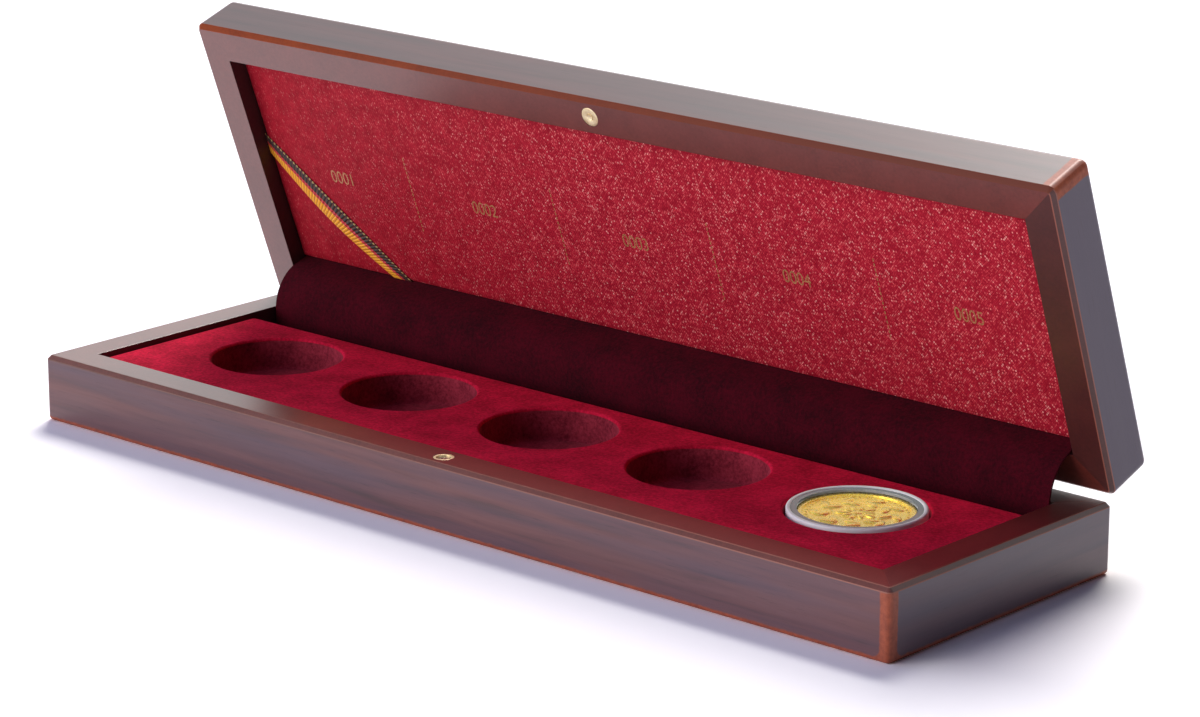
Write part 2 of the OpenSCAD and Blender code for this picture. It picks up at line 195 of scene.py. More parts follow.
# %% [markdown]
# The case stands on a seamless white table of plain paper. Where a camera, mirror or glass ray meets it,
# the paper counts as a little whiter than it is, which brings it up to the white of the page and leaves
# the shadows dark. The case itself gets only the light that true paper sends back.

# %% Floor
FLOOR_HALF = 4.0
FLOOR_GAIN = 1.35

paper, tree = new_material("white_table_paper")
gain = add(tree, "MapRange", {"Value": seen_rays(tree), "To Min": 1.0, "To Max": FLOOR_GAIN})
grain = add(tree, "TexNoise", {"Scale": 900.0, "Detail": 2.0})
tone = add(tree, "ValToRGB", {0: grain})
set_ramp(tone, (0.0, "#f4f4f6"), (1.0, "#f8f8fa"))
shown = add(tree, "VectorMath", {0: tone, "Scale": gain}, operation="SCALE")
matte = add(tree, "BsdfDiffuse", {"Color": shown})
add(tree, "OutputMaterial", {"Surface": matte})

bpy.ops.mesh.primitive_plane_add(size=2 * FLOOR_HALF)
floor = bpy.context.object
floor.name = "floor"
floor.data.materials.append(paper)
print("floor half width in m:", FLOOR_HALF)

# %% [markdown]
# Light comes from a broad window high up, a little behind and to the left, which leaves a soft shadow in
# front, and from a wide pale wall at the front left. The room is white towards the horizon, which rims,
# glass and metal mirror, and darker overhead. What it sheds on dull surfaces is a cool fill that comes
# mostly from the left, so the right ends stay dark.

# %% Light
ROOM_LEFT = 0.8
ROOM_RIGHT = 0.0
FILL_FROM = (-0.8, -0.55, 0.2)
WHITE_BELOW = 0.3
GREY_ABOVE = 0.8

scene = bpy.context.scene
scene.view_settings.view_transform = "Standard"
world = bpy.data.worlds.new("white_studio")
scene.world = world
world.use_nodes = True
tree = world.node_tree
tree.nodes.clear()
direction = add(tree, "TexCoord").outputs["Generated"]
parts = add(tree, "SeparateXYZ", {0: direction})
height = add(tree, "MapRange", {
    "Value": parts.outputs["Z"], "From Min": WHITE_BELOW, "From Max": GREY_ABOVE})
mirrored = add(tree, "ValToRGB", {0: height})
set_ramp(mirrored, (0.0, "#ffffff"), (1.0, "#a8a8ae"))
white_room = add(tree, "Background", {"Color": mirrored, "Strength": 1.0})
facing = add(tree, "VectorMath", {0: direction, 1: FILL_FROM}, operation="DOT_PRODUCT")
side = add(tree, "MapRange", {
    "Value": facing.outputs["Value"], "From Min": 0.0, "From Max": 1.0,
    "To Min": ROOM_RIGHT, "To Max": ROOM_LEFT})
cool_fill = add(tree, "Background", {"Color": linear("#b8c4ff"), "Strength": side})
room = add(tree, "MixShader", {0: seen_rays(tree), 1: cool_fill, 2: white_room})
add(tree, "OutputWorld", {"Surface": room})


def sun(name, strength, colour, towards, spread):
    """A very distant broad light; towards is the direction from the case to the light."""
    bpy.ops.object.light_add(type="SUN")
    lamp = bpy.context.object
    lamp.name = name
    lamp.data.energy = strength
    lamp.data.color = linear(colour)[:3]
    lamp.data.angle = math.radians(spread)
    lamp.rotation_euler = Vector(towards).to_track_quat("Z", "Y").to_euler()


sun("window_light", 3.4, "#fffaf4", (-0.30, 0.58, 0.757), 28)
sun("front_wall_light", 2.2, "#fff4ee", (-0.45, -0.88, 0.17), 50)

# %% [markdown]
# Rims, arrises and insides are board with a satin stain. Sanded fibreboard takes stain in slow clouds and
# fine specks. Arrises take another tone towards the right: on most rails they lighten there as a painted
# highlight, and on the lid's front they turn from orange to a darker red-brown. The right-hand rails have
# darker stains on rim and chamfer as painted shade.

# %% Stains
STAIN_LEFT = -110 * MM
STAIN_RIGHT = 90 * MM


def stained_board(name, main, deep, gloss, coat, right=None, shine=0.5):
    """Satin stain on sanded fibreboard; right is the tone that it may take towards the right."""
    material, tree = new_material(name)
    here = add(tree, "TexCoord").outputs["Object"]
    clouds = add(tree, "TexNoise", {
        "Vector": here, "Scale": 1 / (9 * MM), "Detail": 5.0, "Roughness": 0.65})
    fibre = add(tree, "TexNoise", {
        "Vector": here, "Scale": 1 / (0.8 * MM), "Detail": 3.0, "Roughness": 0.6})
    mottle = add(tree, "Mix", {0: 0.45, 2: clouds, 3: fibre}, data_type="FLOAT")
    colour = add(tree, "ValToRGB", {0: mottle})
    set_ramp(colour, (0.36, deep), (0.62, main))
    shown = colour
    if right:
        parts = add(tree, "SeparateXYZ", {0: here})
        share = add(tree, "MapRange", {
            "Value": parts.outputs["X"], "From Min": STAIN_LEFT, "From Max": STAIN_RIGHT})
        toned = add(tree, "Mix", {0: share, 6: shown, 7: linear(right)}, data_type="RGBA")
        shown = toned.outputs[2]
    dents = add(tree, "Bump", {"Strength": 0.3, "Distance": 0.05 * MM, "Height": fibre})
    shader = add(tree, "BsdfPrincipled", {
        "Base Color": shown, "Roughness": gloss, "Specular IOR Level": shine, "Normal": dents,
        "Coat Weight": coat, "Coat Roughness": 0.3})
    add(tree, "OutputMaterial", {"Surface": shader})
    return material


rim_stain = stained_board("red_brown_rim_stain", "#6e3029", "#5c261f", 0.27, 0.65)
# Painted shade: the right-hand rails get darker stains on rim and chamfer.
right_rim_stains_painted_shade = {
    "base": stained_board("dark_rim_stain_painted_shade", "#5c2924", "#4a1e1b", 0.3, 0.4),
    "lid": stained_board("darker_rim_stain_painted_shade", "#4c1f1c", "#3c1615", 0.45, 0.1),
}
inner_stain = stained_board("dark_inner_stain", "#3c1518", "#2e1013", 0.5, 0.1)
# Painted highlight: these arrises lighten towards the right.
arris_stain = stained_board("arris_stain_painted_highlight", "#6a3a2e", "#5a2e25", 0.45, 0.1, right="#8e5040")
lid_arris_stain = stained_board(
    "orange_arris_stain", "#924019", "#7c3414", 0.6, 0.0, right="#6c382a", shine=0.15)
print("stains:", rim_stain.name, inner_stain.name, arris_stain.name, lid_arris_stain.name)

# %% [markdown]
# The box is board under a printed foil that looks like mahogany: long soft streaks, fine dark pores
# along the grain, and a satin lacquer. The foil stops short of the posts at the corners and of the far
# arris, where the board is stained a warm orange-brown, and its own corners are round. So the finish
# works out how far a point lies inside or outside the foil's rounded outline, and fades from one to the
# other. A Mapping node lays the pattern along each rail, and on the lid it first turns the lean of the
# lid back. The foil mixes in a cool grey tone in slow bands; on the right ends and the lid's front more
# of it is mixed in, as painted reflection of the room. Some rails are cut from a cooler, greyer part of the print.

# %% Foil
FOIL_ROUND = 1.7 * MM
FOIL_LOOK = (0.3, 0.1, "#4a4255")


def foil_on_board(name, turn, shift, reach, grain_shift, across_axis, look):
    """Printed wood-look foil, fading into stained board; look is its cool share, raised on some rails as painted
    reflection, its coat and its cool tone.
    """
    cool_share_and_painted_reflection, coat, cool_tone_and_painted_reflection = look
    material, tree = new_material(name)
    here = add(tree, "TexCoord").outputs["Object"]
    laid = add(tree, "Mapping", {"Vector": here, "Rotation": turn, "Location": shift})
    moved = add(tree, "VectorMath", {0: laid, 1: grain_shift}, operation="ADD")

    def stretched_noise(long, thin, detail, rough, bent):
        """Noise drawn out along the grain: long and thin are its usual sizes along and across."""
        scale = (1 / long, 1 / thin, 1 / thin)
        vector = add(tree, "VectorMath", {0: moved, 1: scale}, operation="MULTIPLY")
        return add(tree, "TexNoise", {
            "Vector": vector, "Scale": 1.0, "Detail": detail, "Roughness": rough, "Distortion": bent})

    streaks = stretched_noise(46 * MM, 2.6 * MM, 4.0, 0.55, 0.25)
    bands = stretched_noise(120 * MM, 7 * MM, 2.0, 0.5, 0.4)
    pores = stretched_noise(7 * MM, 0.5 * MM, 3.0, 0.6, 0.0)
    colour = add(tree, "ValToRGB", {0: streaks})
    set_ramp(colour, (0.26, "#4c3334"), (0.44, "#643d3e"), (0.58, "#6e4443"), (0.76, "#764c4b"))
    cool = add(tree, "MapRange", {
        "Value": bands, "From Min": 0.4, "From Max": 0.68,
        "To Min": cool_share_and_painted_reflection, "To Max": 0.55 + 0.45 * cool_share_and_painted_reflection})
    tinted = add(tree, "Mix", {0: cool, 6: colour, 7: linear(cool_tone_and_painted_reflection)}, data_type="RGBA")
    pore = add(tree, "MapRange", {"Value": pores, "From Min": 0.58, "From Max": 0.74, "To Max": 0.4})
    dark = add(tree, "Mix", {0: pore, 6: tinted.outputs[2], 7: linear("#332326")}, data_type="RGBA")

    parts = add(tree, "SeparateXYZ", {0: laid})
    outside = []
    for axis, half_size in zip(("X", across_axis), reach):
        size = add(tree, "Math", {0: parts.outputs[axis]}, operation="ABSOLUTE")
        past = add(tree, "Math", {0: size, 1: half_size - FOIL_ROUND}, operation="SUBTRACT")
        outside.append(add(tree, "Math", {0: past, 1: 0.0}, operation="MAXIMUM"))
    way = add(tree, "CombineXYZ", {0: outside[0], 1: outside[1]})
    away = add(tree, "VectorMath", {0: way}, operation="LENGTH")
    ragged = add(tree, "TexNoise", {"Vector": here, "Scale": 1 / (1.6 * MM), "Detail": 3.0})
    wander = add(tree, "MapRange", {"Value": ragged, "To Min": -0.3 * MM, "To Max": 0.3 * MM})
    edge = add(tree, "Math", {0: away.outputs["Value"], 1: wander}, operation="ADD")
    bare = add(tree, "MapRange", {
        "Value": edge, "From Min": FOIL_ROUND - 0.25 * MM, "From Max": FOIL_ROUND + 0.35 * MM},
        interpolation_type="SMOOTHSTEP")

    clouds = add(tree, "TexNoise", {
        "Vector": here, "Scale": 1 / (2 * MM), "Detail": 5.0, "Roughness": 0.7})
    stain = add(tree, "ValToRGB", {0: clouds})
    set_ramp(stain, (0.36, "#863a20"), (0.62, "#a8502e"))
    shown = add(tree, "Mix", {0: bare, 6: dark.outputs[2], 7: stain}, data_type="RGBA")
    lacquer = add(tree, "MapRange", {"Value": streaks, "To Min": 0.46, "To Max": 0.36})
    gloss = add(tree, "Mix", {0: bare, 2: lacquer, 3: 0.6}, data_type="FLOAT")
    dents = add(tree, "Bump", {"Strength": 0.05, "Distance": 0.05 * MM, "Height": pores})
    shader = add(tree, "BsdfPrincipled", {
        "Base Color": shown.outputs[2], "Roughness": gloss, "Normal": dents,
        "Coat Weight": coat, "Coat Roughness": 0.3})
    add(tree, "OutputMaterial", {"Surface": shader})
    return material


def rail_foil(name, lean, yaw, middle, reach, number, across_axis="Z", look=FOIL_LOOK):
    """The foil for one rail; middle is the middle of its outline in the rail's own shut coordinates."""
    tilt = Matrix.Rotation(lean, 3, "X")
    swing = Matrix.Rotation(yaw, 3, "Z")
    shift = swing @ (hinge_point - tilt @ hinge_point) - middle
    grain_shift = (0.31 * number, 0.023 * number, 0.017 * number)
    return foil_on_board(name, (lean, 0, yaw), shift, reach, grain_shift, across_axis, look)


print("foil corners in mm:", FOIL_ROUND / MM)

# %% [markdown]
# Pieces start as a cube between two corners and are shaped in edit mode. Operators act on what is
# selected, so a helper deselects everything and then selects faces or edges that pass a test of their
# place. Cuts are boolean modifiers, applied at once.

# %% Selecting and editing
SLACK = 0.02 * MM
FINE = 0.001 * MM


def select_only(piece):
    """Makes a piece the active one and the only one that is selected."""
    bpy.ops.object.select_all(action="DESELECT")
    piece.select_set(True)
    bpy.context.view_layer.objects.active = piece


def edit(piece):
    """Enters edit mode on one piece."""
    select_only(piece)
    bpy.ops.object.mode_set(mode="EDIT")


def done():
    """Leaves edit mode."""
    bpy.ops.object.mode_set(mode="OBJECT")


def pick(piece, kind, test):
    """In edit mode, selects only the edges or faces that pass the test."""
    bpy.ops.mesh.select_mode(type=kind)
    bpy.ops.mesh.select_all(action="DESELECT")
    shape = bmesh.from_edit_mesh(piece.data)
    for part in {"EDGE": shape.edges, "FACE": shape.faces}[kind]:
        if test(part):
            part.select = True
    shape.select_flush_mode()
    bmesh.update_edit_mesh(piece.data)


def soften(piece, test, offset, segments):
    """In edit mode, bevels the edges that pass the test."""
    pick(piece, "EDGE", test)
    bpy.ops.mesh.bevel(offset=offset, segments=segments, affect="EDGES")


def paint(piece, number, test):
    """In edit mode, gives the faces that pass the test the material of that slot number."""
    pick(piece, "FACE", test)
    piece.active_material_index = number
    bpy.ops.object.material_slot_assign()


def face_outwards():
    """In edit mode, turns all faces of a closed shape outwards."""
    bpy.ops.mesh.select_all(action="SELECT")
    bpy.ops.mesh.normals_make_consistent(inside=False)


def every(part):
    """A test that every edge or face passes."""
    return True


def lies_at(part, axis, value):
    """Whether an edge or face lies in the plane where that coordinate has that value."""
    return all(abs(v.co[axis] - value) < SLACK for v in part.verts)


def upright(edge):
    """Whether an edge of a plain box runs up and down."""
    return abs(edge.verts[0].co.z - edge.verts[1].co.z) > SLACK


print("edges and faces are matched to within mm:", SLACK / MM)

# %% Making and finishing pieces
def named(piece, name):
    """Gives a piece and its mesh the same name."""
    piece.name = name
    piece.data.name = name
    return piece


def new_box(name, low, high):
    """A cube between two corners, with its place in its mesh."""
    bpy.ops.object.select_all(action="DESELECT")
    bpy.ops.mesh.primitive_cube_add(size=1, location=(Vector(low) + Vector(high)) / 2)
    piece = named(bpy.context.object, name)
    piece.scale = Vector(high) - Vector(low)
    bpy.ops.object.transform_apply()
    return piece


def modify(piece, kind, **settings):
    """Adds a modifier to a piece and applies it."""
    bpy.context.view_layer.objects.active = piece
    modifier = piece.modifiers.new(kind.lower(), kind)
    for key, value in settings.items():
        setattr(modifier, key, value)
    bpy.ops.object.modifier_apply(modifier=modifier.name)


def cut_away(piece, cutter):
    """Cuts one piece with another, which is used up."""
    modify(piece, "BOOLEAN", operation="DIFFERENCE", solver="EXACT", object=cutter)
    bpy.data.objects.remove(cutter)


def smooth(piece, degrees):
    """Shades a piece smooth except at edges sharper than the angle."""
    select_only(piece)
    bpy.ops.object.shade_smooth_by_angle(angle=math.radians(degrees))


def own_copy(piece, name):
    """A copy of a piece with its own mesh."""
    copy = piece.copy()
    copy.data = piece.data.copy()
    bpy.context.collection.objects.link(copy)
    return named(copy, name)


def join(name, pieces):
    """Joins pieces into the first one, under a new name."""
    bpy.ops.object.select_all(action="DESELECT")
    for piece in pieces:
        piece.select_set(True)
    bpy.context.view_layer.objects.active = pieces[0]
    bpy.ops.object.join()
    return named(bpy.context.object, name)


def finish_piece(piece, body, slot, *nodes):
    """Puts a piece on its body, in place of the CAD nodes; slot is not used."""
    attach(piece, body)
    if nodes:
        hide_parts(*nodes)


# %% [markdown]
# Base and lid are frames of four rails, mitred at the corners. One block is modelled for each half, with
# the arrises as a router would run them round: narrowly rounded upright corners, a chamfer at the rim
# and a round at the far edge. A rail is a copy of the block, sawn along both mitres and down its inner
# face, with a rebate for the panel.

# %% Rail blocks
CORNER_ROUND = {"base": 1.4 * MM, "lid": 2.0 * MM}
EDGE_ROUND = {"base": 1.2 * MM, "lid": 1.8 * MM}
RIM_CHAMFER = 1.05 * MM
ARRIS_SOFT = 0.16 * MM
RAIL_W = 9.7 * MM
REBATE_W = 4.0 * MM
OVER = 1 * MM
REBATE_LONGER = 1.1


def rail_block(half_name, low, high, rim):
    """The outer shape of one half, still solid; rim is the height where base and lid meet."""
    far = low.z if rim == high.z else high.z
    inward = math.copysign(RIM_CHAMFER, far - rim)
    block = new_box(f"{half_name}_block", low, high)
    edit(block)
    soften(block, upright, CORNER_ROUND[half_name], 8)
    soften(block, lambda e: lies_at(e, 2, far), EDGE_ROUND[half_name], 6)
    soften(block, lambda e: lies_at(e, 2, rim), RIM_CHAMFER, 1)
    soften(block, lambda e: lies_at(e, 2, rim) or lies_at(e, 2, rim + inward), ARRIS_SOFT, 2)
    done()
    return block


def free_rail(block, name, out, half, rim, far, panel):
    """Saws one rail out of a copy of the block; out points out of its outer face."""
    rail = own_copy(block, name)
    reach = abs(out.x * half.x + out.y * half.y)
    along = Vector((abs(out.y), abs(out.x), 0))
    half_along = Vector((along.x * half.x, along.y * half.y, 0))
    planes = [(out * (reach - RAIL_W), -out)]
    for end in (-1, 1):
        planes.append((out * reach + end * half_along, end * along - out))
    edit(rail)
    for point, normal in planes:
        bpy.ops.mesh.select_all(action="SELECT")
        bpy.ops.mesh.bisect(plane_co=point, plane_no=normal, use_fill=True, clear_outer=True, threshold=FINE)
    done()
    corner_a = out * (reach - RAIL_W - OVER) - half_along * REBATE_LONGER
    corner_b = out * (reach - RAIL_W + REBATE_W) + half_along * REBATE_LONGER
    corner_a.z, corner_b.z = panel, far + math.copysign(OVER, far - panel)
    low = Vector(min(a, b) for a, b in zip(corner_a, corner_b))
    high = Vector(max(a, b) for a, b in zip(corner_a, corner_b))
    cut_away(rail, new_box("rebate", low, high))

    def inner_arris(edge):
        return lies_at(edge, 2, rim) and all(abs(v.co.dot(out) - reach + RAIL_W) < SLACK for v in edge.verts)

    edit(rail)
    soften(rail, inner_arris, ARRIS_SOFT, 2)
    done()
    return rail


front_low, front_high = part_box("base_front_rail")
base_low = Vector((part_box("base_left_rail")[0].x, front_low.y, front_low.z))
base_high = Vector((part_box("base_right_rail")[1].x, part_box("base_back_rail")[1].y, front_high.z))
lid_front_low, lid_front_high = shut_box("lid_front_rail")
lid_low = Vector((base_low.x, base_low.y, lid_front_low.z))
lid_high = Vector((base_high.x, base_high.y, lid_front_high.z))
base_block = rail_block("base", base_low, base_high, base_high.z)
lid_block = rail_block("lid", lid_low, lid_high, lid_low.z)
print("block faces:", len(base_block.data.polygons), len(lid_block.data.polygons))

# %% [markdown]
# The rails carry small cuts: sunk beds for the hinge leaves with a trench for the knuckles at the back,
# and a blind hole for each half of the catch at the front. They follow the frame's own boxes.

# %% Rail cuts
BED_GAP = 0.05 * MM
BED_DEPTH = 0.8 * MM
BED_OPEN = 5 * MM
BED_CLEAR = 2 * MM
TRENCH_R = 1.6 * MM
HOLE_GAP = 0.03 * MM


def cylinder_cutter(centre, radius, depth, turn=(0, 0, 0)):
    """A round cutter about its centre; turn lays it along another axis."""
    bpy.ops.object.select_all(action="DESELECT")
    bpy.ops.mesh.primitive_cylinder_add(
        vertices=64, radius=radius, depth=depth, location=centre, rotation=turn)
    cutter = bpy.context.object
    bpy.ops.object.transform_apply()
    return cutter


def cut_hinge_beds(rail, half_name, box_of, rim, outwards):
    """Sinks the leaves of both hinges into the rim of a back rail, and clears their knuckles."""
    heights = sorted((rim - outwards * BED_DEPTH, rim + outwards * BED_CLEAR))
    for side in ("left", "right"):
        low, high = box_of(f"{side}_hinge_{half_name}_leaf")
        bed_low = Vector((low.x - BED_GAP, low.y - BED_GAP, heights[0]))
        bed_high = Vector((high.x + BED_GAP, high.y + BED_OPEN, heights[1]))
        cut_away(rail, new_box("bed", bed_low, bed_high))
        middle = Vector(((low.x + high.x) / 2, hinge_point.y, hinge_point.z))
        cut_away(rail, cylinder_cutter(middle, TRENCH_R, high.x - low.x + 2 * BED_GAP, (0, QUARTER, 0)))


def cut_catch_hole(rail, low, high):
    """Bores the hole for one half of the catch, which fills the box between the corners."""
    radius = (high.x - low.x) / 2 + HOLE_GAP
    cut_away(rail, cylinder_cutter((low + high) / 2, radius, high.z - low.z + 2 * HOLE_GAP))


print("hinge beds in mm deep:", BED_DEPTH / MM)

# %% [markdown]
# A rail's faces are told apart by which way they point: its outer skin and far edge have foil, its rim a
# stain, its chamfer and arrises another, and its inside a dark one. The lid's rails also reach into the
# top, where the foil runs on from the panel.

# %% Rail finishes
EDGE_ON = 0.05
NEARLY_FLAT = 0.995


def dress_rail(rail, out, foil, rim, chamfer, arrises, top_foil):
    """Gives a rail its finishes; out points out of its outer face, and top_foil is there on a lid."""
    for material in (rim, foil, chamfer, arrises, top_foil or foil, inner_stain):
        rail.data.materials.append(material)
    rim_up = -1 if top_foil else 1

    def skin(face):
        return face.normal.dot(out) > EDGE_ON and face.normal.z * rim_up < EDGE_ON

    def far_side(face):
        return face.normal.z * rim_up < -EDGE_ON and face.normal.dot(out) > -EDGE_ON

    def on_chamfer(face):
        return face.normal.dot(out) > EDGE_ON and 0.6 < face.normal.z * rim_up < 0.8

    def arris(face):
        return face.normal.dot(out) > EDGE_ON and EDGE_ON < face.normal.z * rim_up < NEARLY_FLAT

    def inner(face):
        return face.normal.dot(out) < -0.9

    def lid_top(face):
        return face.normal.z > 0.99 and lies_at(face, 2, lid_high.z)

    edit(rail)
    for number, test in ((1, far_side), (1, skin), (3, arris), (2, on_chamfer), (5, inner)):
        paint(rail, number, test)
    if top_foil:
        paint(rail, 4, lid_top)
    done()


print("a face counts as edge-on up to:", EDGE_ON)

# %% [markdown]
# Now each rail is sawn free, cut and dressed. The foil ends short of the posts at the front right corner,
# which are stained board, and runs on round the others. Every rail has its own stretch of the grain.

# %% Rails
POST_W = {"base": 2.9 * MM, "lid": 3.6 * MM}
FAR_EDGE_W = 1.3 * MM
LID_EDGE_W = 0.6 * MM
FOIL_OVER = 3 * MM
SIDES = {
    "front": Vector((0, -1, 0)), "back": Vector((0, 1, 0)),
    "left": Vector((-1, 0, 0)), "right": Vector((1, 0, 0))}

half = Vector((base_high.x, base_high.y, 0))
foil_spans = {
    "base": (base_low.z + FAR_EDGE_W, base_high.z - RIM_CHAMFER + FOIL_OVER),
    "lid": (lid_low.z + RIM_CHAMFER - FOIL_OVER, lid_high.z - LID_EDGE_W),
}
# Per-rail cool shares and tones: the right ends and the lid's front get more cool grey as painted reflection of
# the room.
foil_looks_painted_reflection = {
    ("base", "front"): (0.05, 0.1, "#4a4255"), ("lid", "front"): (0.4, 0.65, "#4a4448"),
    ("base", "right"): (0.55, 0.3, "#4a4255"), ("lid", "right"): (0.95, 0.0, "#463a50"),
}
top_middle = Vector((0, 0, lid_high.z))
top_reach = (half.x - LID_EDGE_W, half.y - LID_EDGE_W)
top_along = rail_foil("mahogany_foil_lid_top", lid_lean, 0, top_middle, top_reach, 9, "Y")
top_across = rail_foil("mahogany_foil_lid_top_ends", lid_lean, QUARTER, top_middle, top_reach[::-1], 10, "Y")
halves = {
    "base": (base_block, base_high.z, base_low.z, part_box("base_bottom_panel")[1].z),
    "lid": (lid_block, lid_low.z, lid_high.z, shut_box("lid_top_panel")[0].z),
}
rail_faces = []
for half_name, (block, rim, far, panel) in halves.items():
    is_lid = half_name == "lid"
    box_of = shut_box if is_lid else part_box
    foil_low, foil_high = foil_spans[half_name]
    for side, out in SIDES.items():
        rail = free_rail(block, f"{half_name}_{side}_rail_wood", out, half, rim, far, panel)
        if side == "back":
            cut_hinge_beds(rail, half_name, box_of, rim, -1 if is_lid else 1)
        if side == "front":
            cut_catch_hole(rail, *box_of("catch_strike" if is_lid else "catch_ferrule"))
        yaw = QUARTER if side in ("left", "right") else 0
        reach = half.y if yaw else half.x
        first = -reach - FOIL_OVER
        last = reach - POST_W[half_name] if side in ("front", "right") else reach + FOIL_OVER
        foil = rail_foil(
            f"mahogany_foil_{half_name}_{side}", lid_lean if is_lid else 0, yaw,
            Vector(((first + last) / 2, 0, (foil_low + foil_high) / 2)),
            ((last - first) / 2, (foil_high - foil_low) / 2),
            len(rail_faces), look=foil_looks_painted_reflection.get((half_name, side), FOIL_LOOK))
        top_foil = (top_across if yaw else top_along) if is_lid else None
        # On the right-hand rails the darker rim stains are painted shade.
        rim_finish = right_rim_stains_painted_shade[half_name] if side == "right" else rim_stain
        lid_front = is_lid and side == "front"
        dress_rail(
            rail, out, foil, rim_finish, lid_arris_stain if lid_front else rim_finish,
            lid_arris_stain if lid_front else arris_stain, top_foil)
        if is_lid:
            turn_open(rail)
        smooth(rail, 25)
        modify(rail, "WEIGHTED_NORMAL", keep_sharp=True)
        finish_piece(rail, half_name, "foil_wood", f"{half_name}_{side}_rail")
        rail_faces.append(len(rail.data.polygons))
    bpy.data.objects.remove(block)
print("rail faces:", rail_faces)

# %% [markdown]
# The lid's top is one panel let into the rails, with the same foil. Its arrises are only just broken,
# which leaves a fine line where it meets the rails. The bottom panel is raw fibreboard, seen by nobody
# once its felt is on, so its solid stays as it is and gets a fibreboard finish.

# %% Panels
PANEL_ARRIS = 0.25 * MM


def speckled(name, size, detail, deep, main, finish, dent=None):
    """A plain material with specks of that size; dent is the strength and depth of its bumps."""
    material, tree = new_material(name)
    here = add(tree, "TexCoord").outputs["Object"]
    specks = add(tree, "TexNoise", {"Vector": here, "Scale": 1 / size, "Detail": detail})
    colour = add(tree, "ValToRGB", {0: specks})
    set_ramp(colour, deep, main)
    look = {"Base Color": colour, **finish}
    if dent:
        look["Normal"] = add(tree, "Bump", {"Strength": dent[0], "Distance": dent[1], "Height": specks})
    shader = add(tree, "BsdfPrincipled", look)
    add(tree, "OutputMaterial", {"Surface": shader})
    return material


def refinish(node, material):
    """Gives a CAD node, whose shape stays, a finished material."""
    slots = frame["nodes"][node].data.materials
    slots.clear()
    slots.append(material)


top_panel = new_box("lid_top_panel_foil", *shut_box("lid_top_panel"))
edit(top_panel)
soften(top_panel, every, PANEL_ARRIS, 2)
done()
top_panel.data.materials.append(top_along)
turn_open(top_panel)
smooth(top_panel, 25)
finish_piece(top_panel, "lid", "foil_wood", "lid_top_panel")

fibreboard = speckled(
    "raw_fibreboard", 0.8 * MM, 4.0, (0.35, "#8d6e4e"), (0.65, "#a98763"),
    {"Roughness": 0.85}, (0.2, 0.1 * MM))
refinish("base_bottom_panel", fibreboard)
print("panels:", top_panel.name, "and a bottom of", fibreboard.name)

# %% [markdown]
# Flock, velvet and felt are all short fibres that stand on a ground. They look matt and deep from above
# and paler along edges seen flat, which is what the shader's sheen gives. Fine noise makes the fibres'
# sparkle of light and dark, and slow noise the patches where the pile leans another way.

# %% Pile finishes
def pile(name, deep, main, tint, sheen, sheen_rough, fibre, patch):
    """Short dense fibres: deep between them, main at their tips, with a tinted sheen at flat angles."""
    material, tree = new_material(name)
    here = add(tree, "TexCoord").outputs["Object"]
    tips = add(tree, "TexNoise", {"Vector": here, "Scale": 1 / fibre, "Detail": 3.0, "Roughness": 0.7})
    leaning = add(tree, "TexNoise", {"Vector": here, "Scale": 1 / patch, "Detail": 3.0})
    mixed = add(tree, "Mix", {0: 0.4, 2: tips, 3: leaning}, data_type="FLOAT")
    colour = add(tree, "ValToRGB", {0: mixed})
    set_ramp(colour, (0.36, deep), (0.62, main))
    nap = add(tree, "Bump", {"Strength": 0.55, "Distance": 0.15 * MM, "Height": tips})
    shader = add(tree, "BsdfPrincipled", {
        "Base Color": colour, "Roughness": 0.95, "Specular IOR Level": 0.12, "Normal": nap,
        "Sheen Weight": sheen, "Sheen Roughness": sheen_rough, "Sheen Tint": linear(tint)})
    add(tree, "OutputMaterial", {"Surface": shader})
    return material


red_flock = pile("red_flock", "#a40e2a", "#e61e46", "#d02040", 0.06, 0.5, 0.8 * MM, 9 * MM)
# Painted shade and sheen: the darker, greyer flock for the insides of the pockets.
pocket_flock_painted_shade = pile("thin_red_flock", "#6c1626", "#a83446", "#c08088", 0.15, 0.5, 0.8 * MM, 5 * MM)
dark_velvet = pile("burgundy_velvet", "#2c020c", "#4e0416", "#b01030", 0.06, 0.35, 0.9 * MM, 10 * MM)
dark_felt = pile("dark_red_felt", "#2b1013", "#3d181c", "#805058", 0.2, 0.5, 0.7 * MM, 18 * MM)
print("piles:", red_flock.name, pocket_flock_painted_shade.name, dark_velvet.name, dark_felt.name)

# %% [markdown]
# The tray is one thin sheet of plastic, pressed over a tool and sprayed with flock. From above it is a
# flat top with five tapered round pockets whose mouths roll over softly. The block is first sawn through
# the pockets' middles and between them, so that each pocket is cut from clean quarters. The pockets are
# cut with tapered cutters, and their rims and floors are beveled round, as the thick pile makes them.
# Inside the pockets the flock is darker and greyer: painted shade in the hollows and a painted grey sheen.

# %% Tray block
TRAY_ROUND = 1.2 * MM
TRAY_CORNER = 1.5 * MM
MOUTH_R = 17.39 * MM
FLOOR_R = 16.67 * MM
POCKET_DEPTH = 8.2 * MM
CUT_OVER = 2 * MM

tray_low, tray_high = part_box("coin_tray")
capsule_centre = (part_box("capsule_base")[0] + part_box("capsule_cap")[1]) / 2
pocket_centres = []
for opening in frame["record"]["physics"]["openings"]:
    if opening["name"].startswith("pocket"):
        low, high = (Vector(corner) for corner in opening["box_m"])
        pocket_centres.append((low + high) / 2)
pocket_centres.append(capsule_centre)

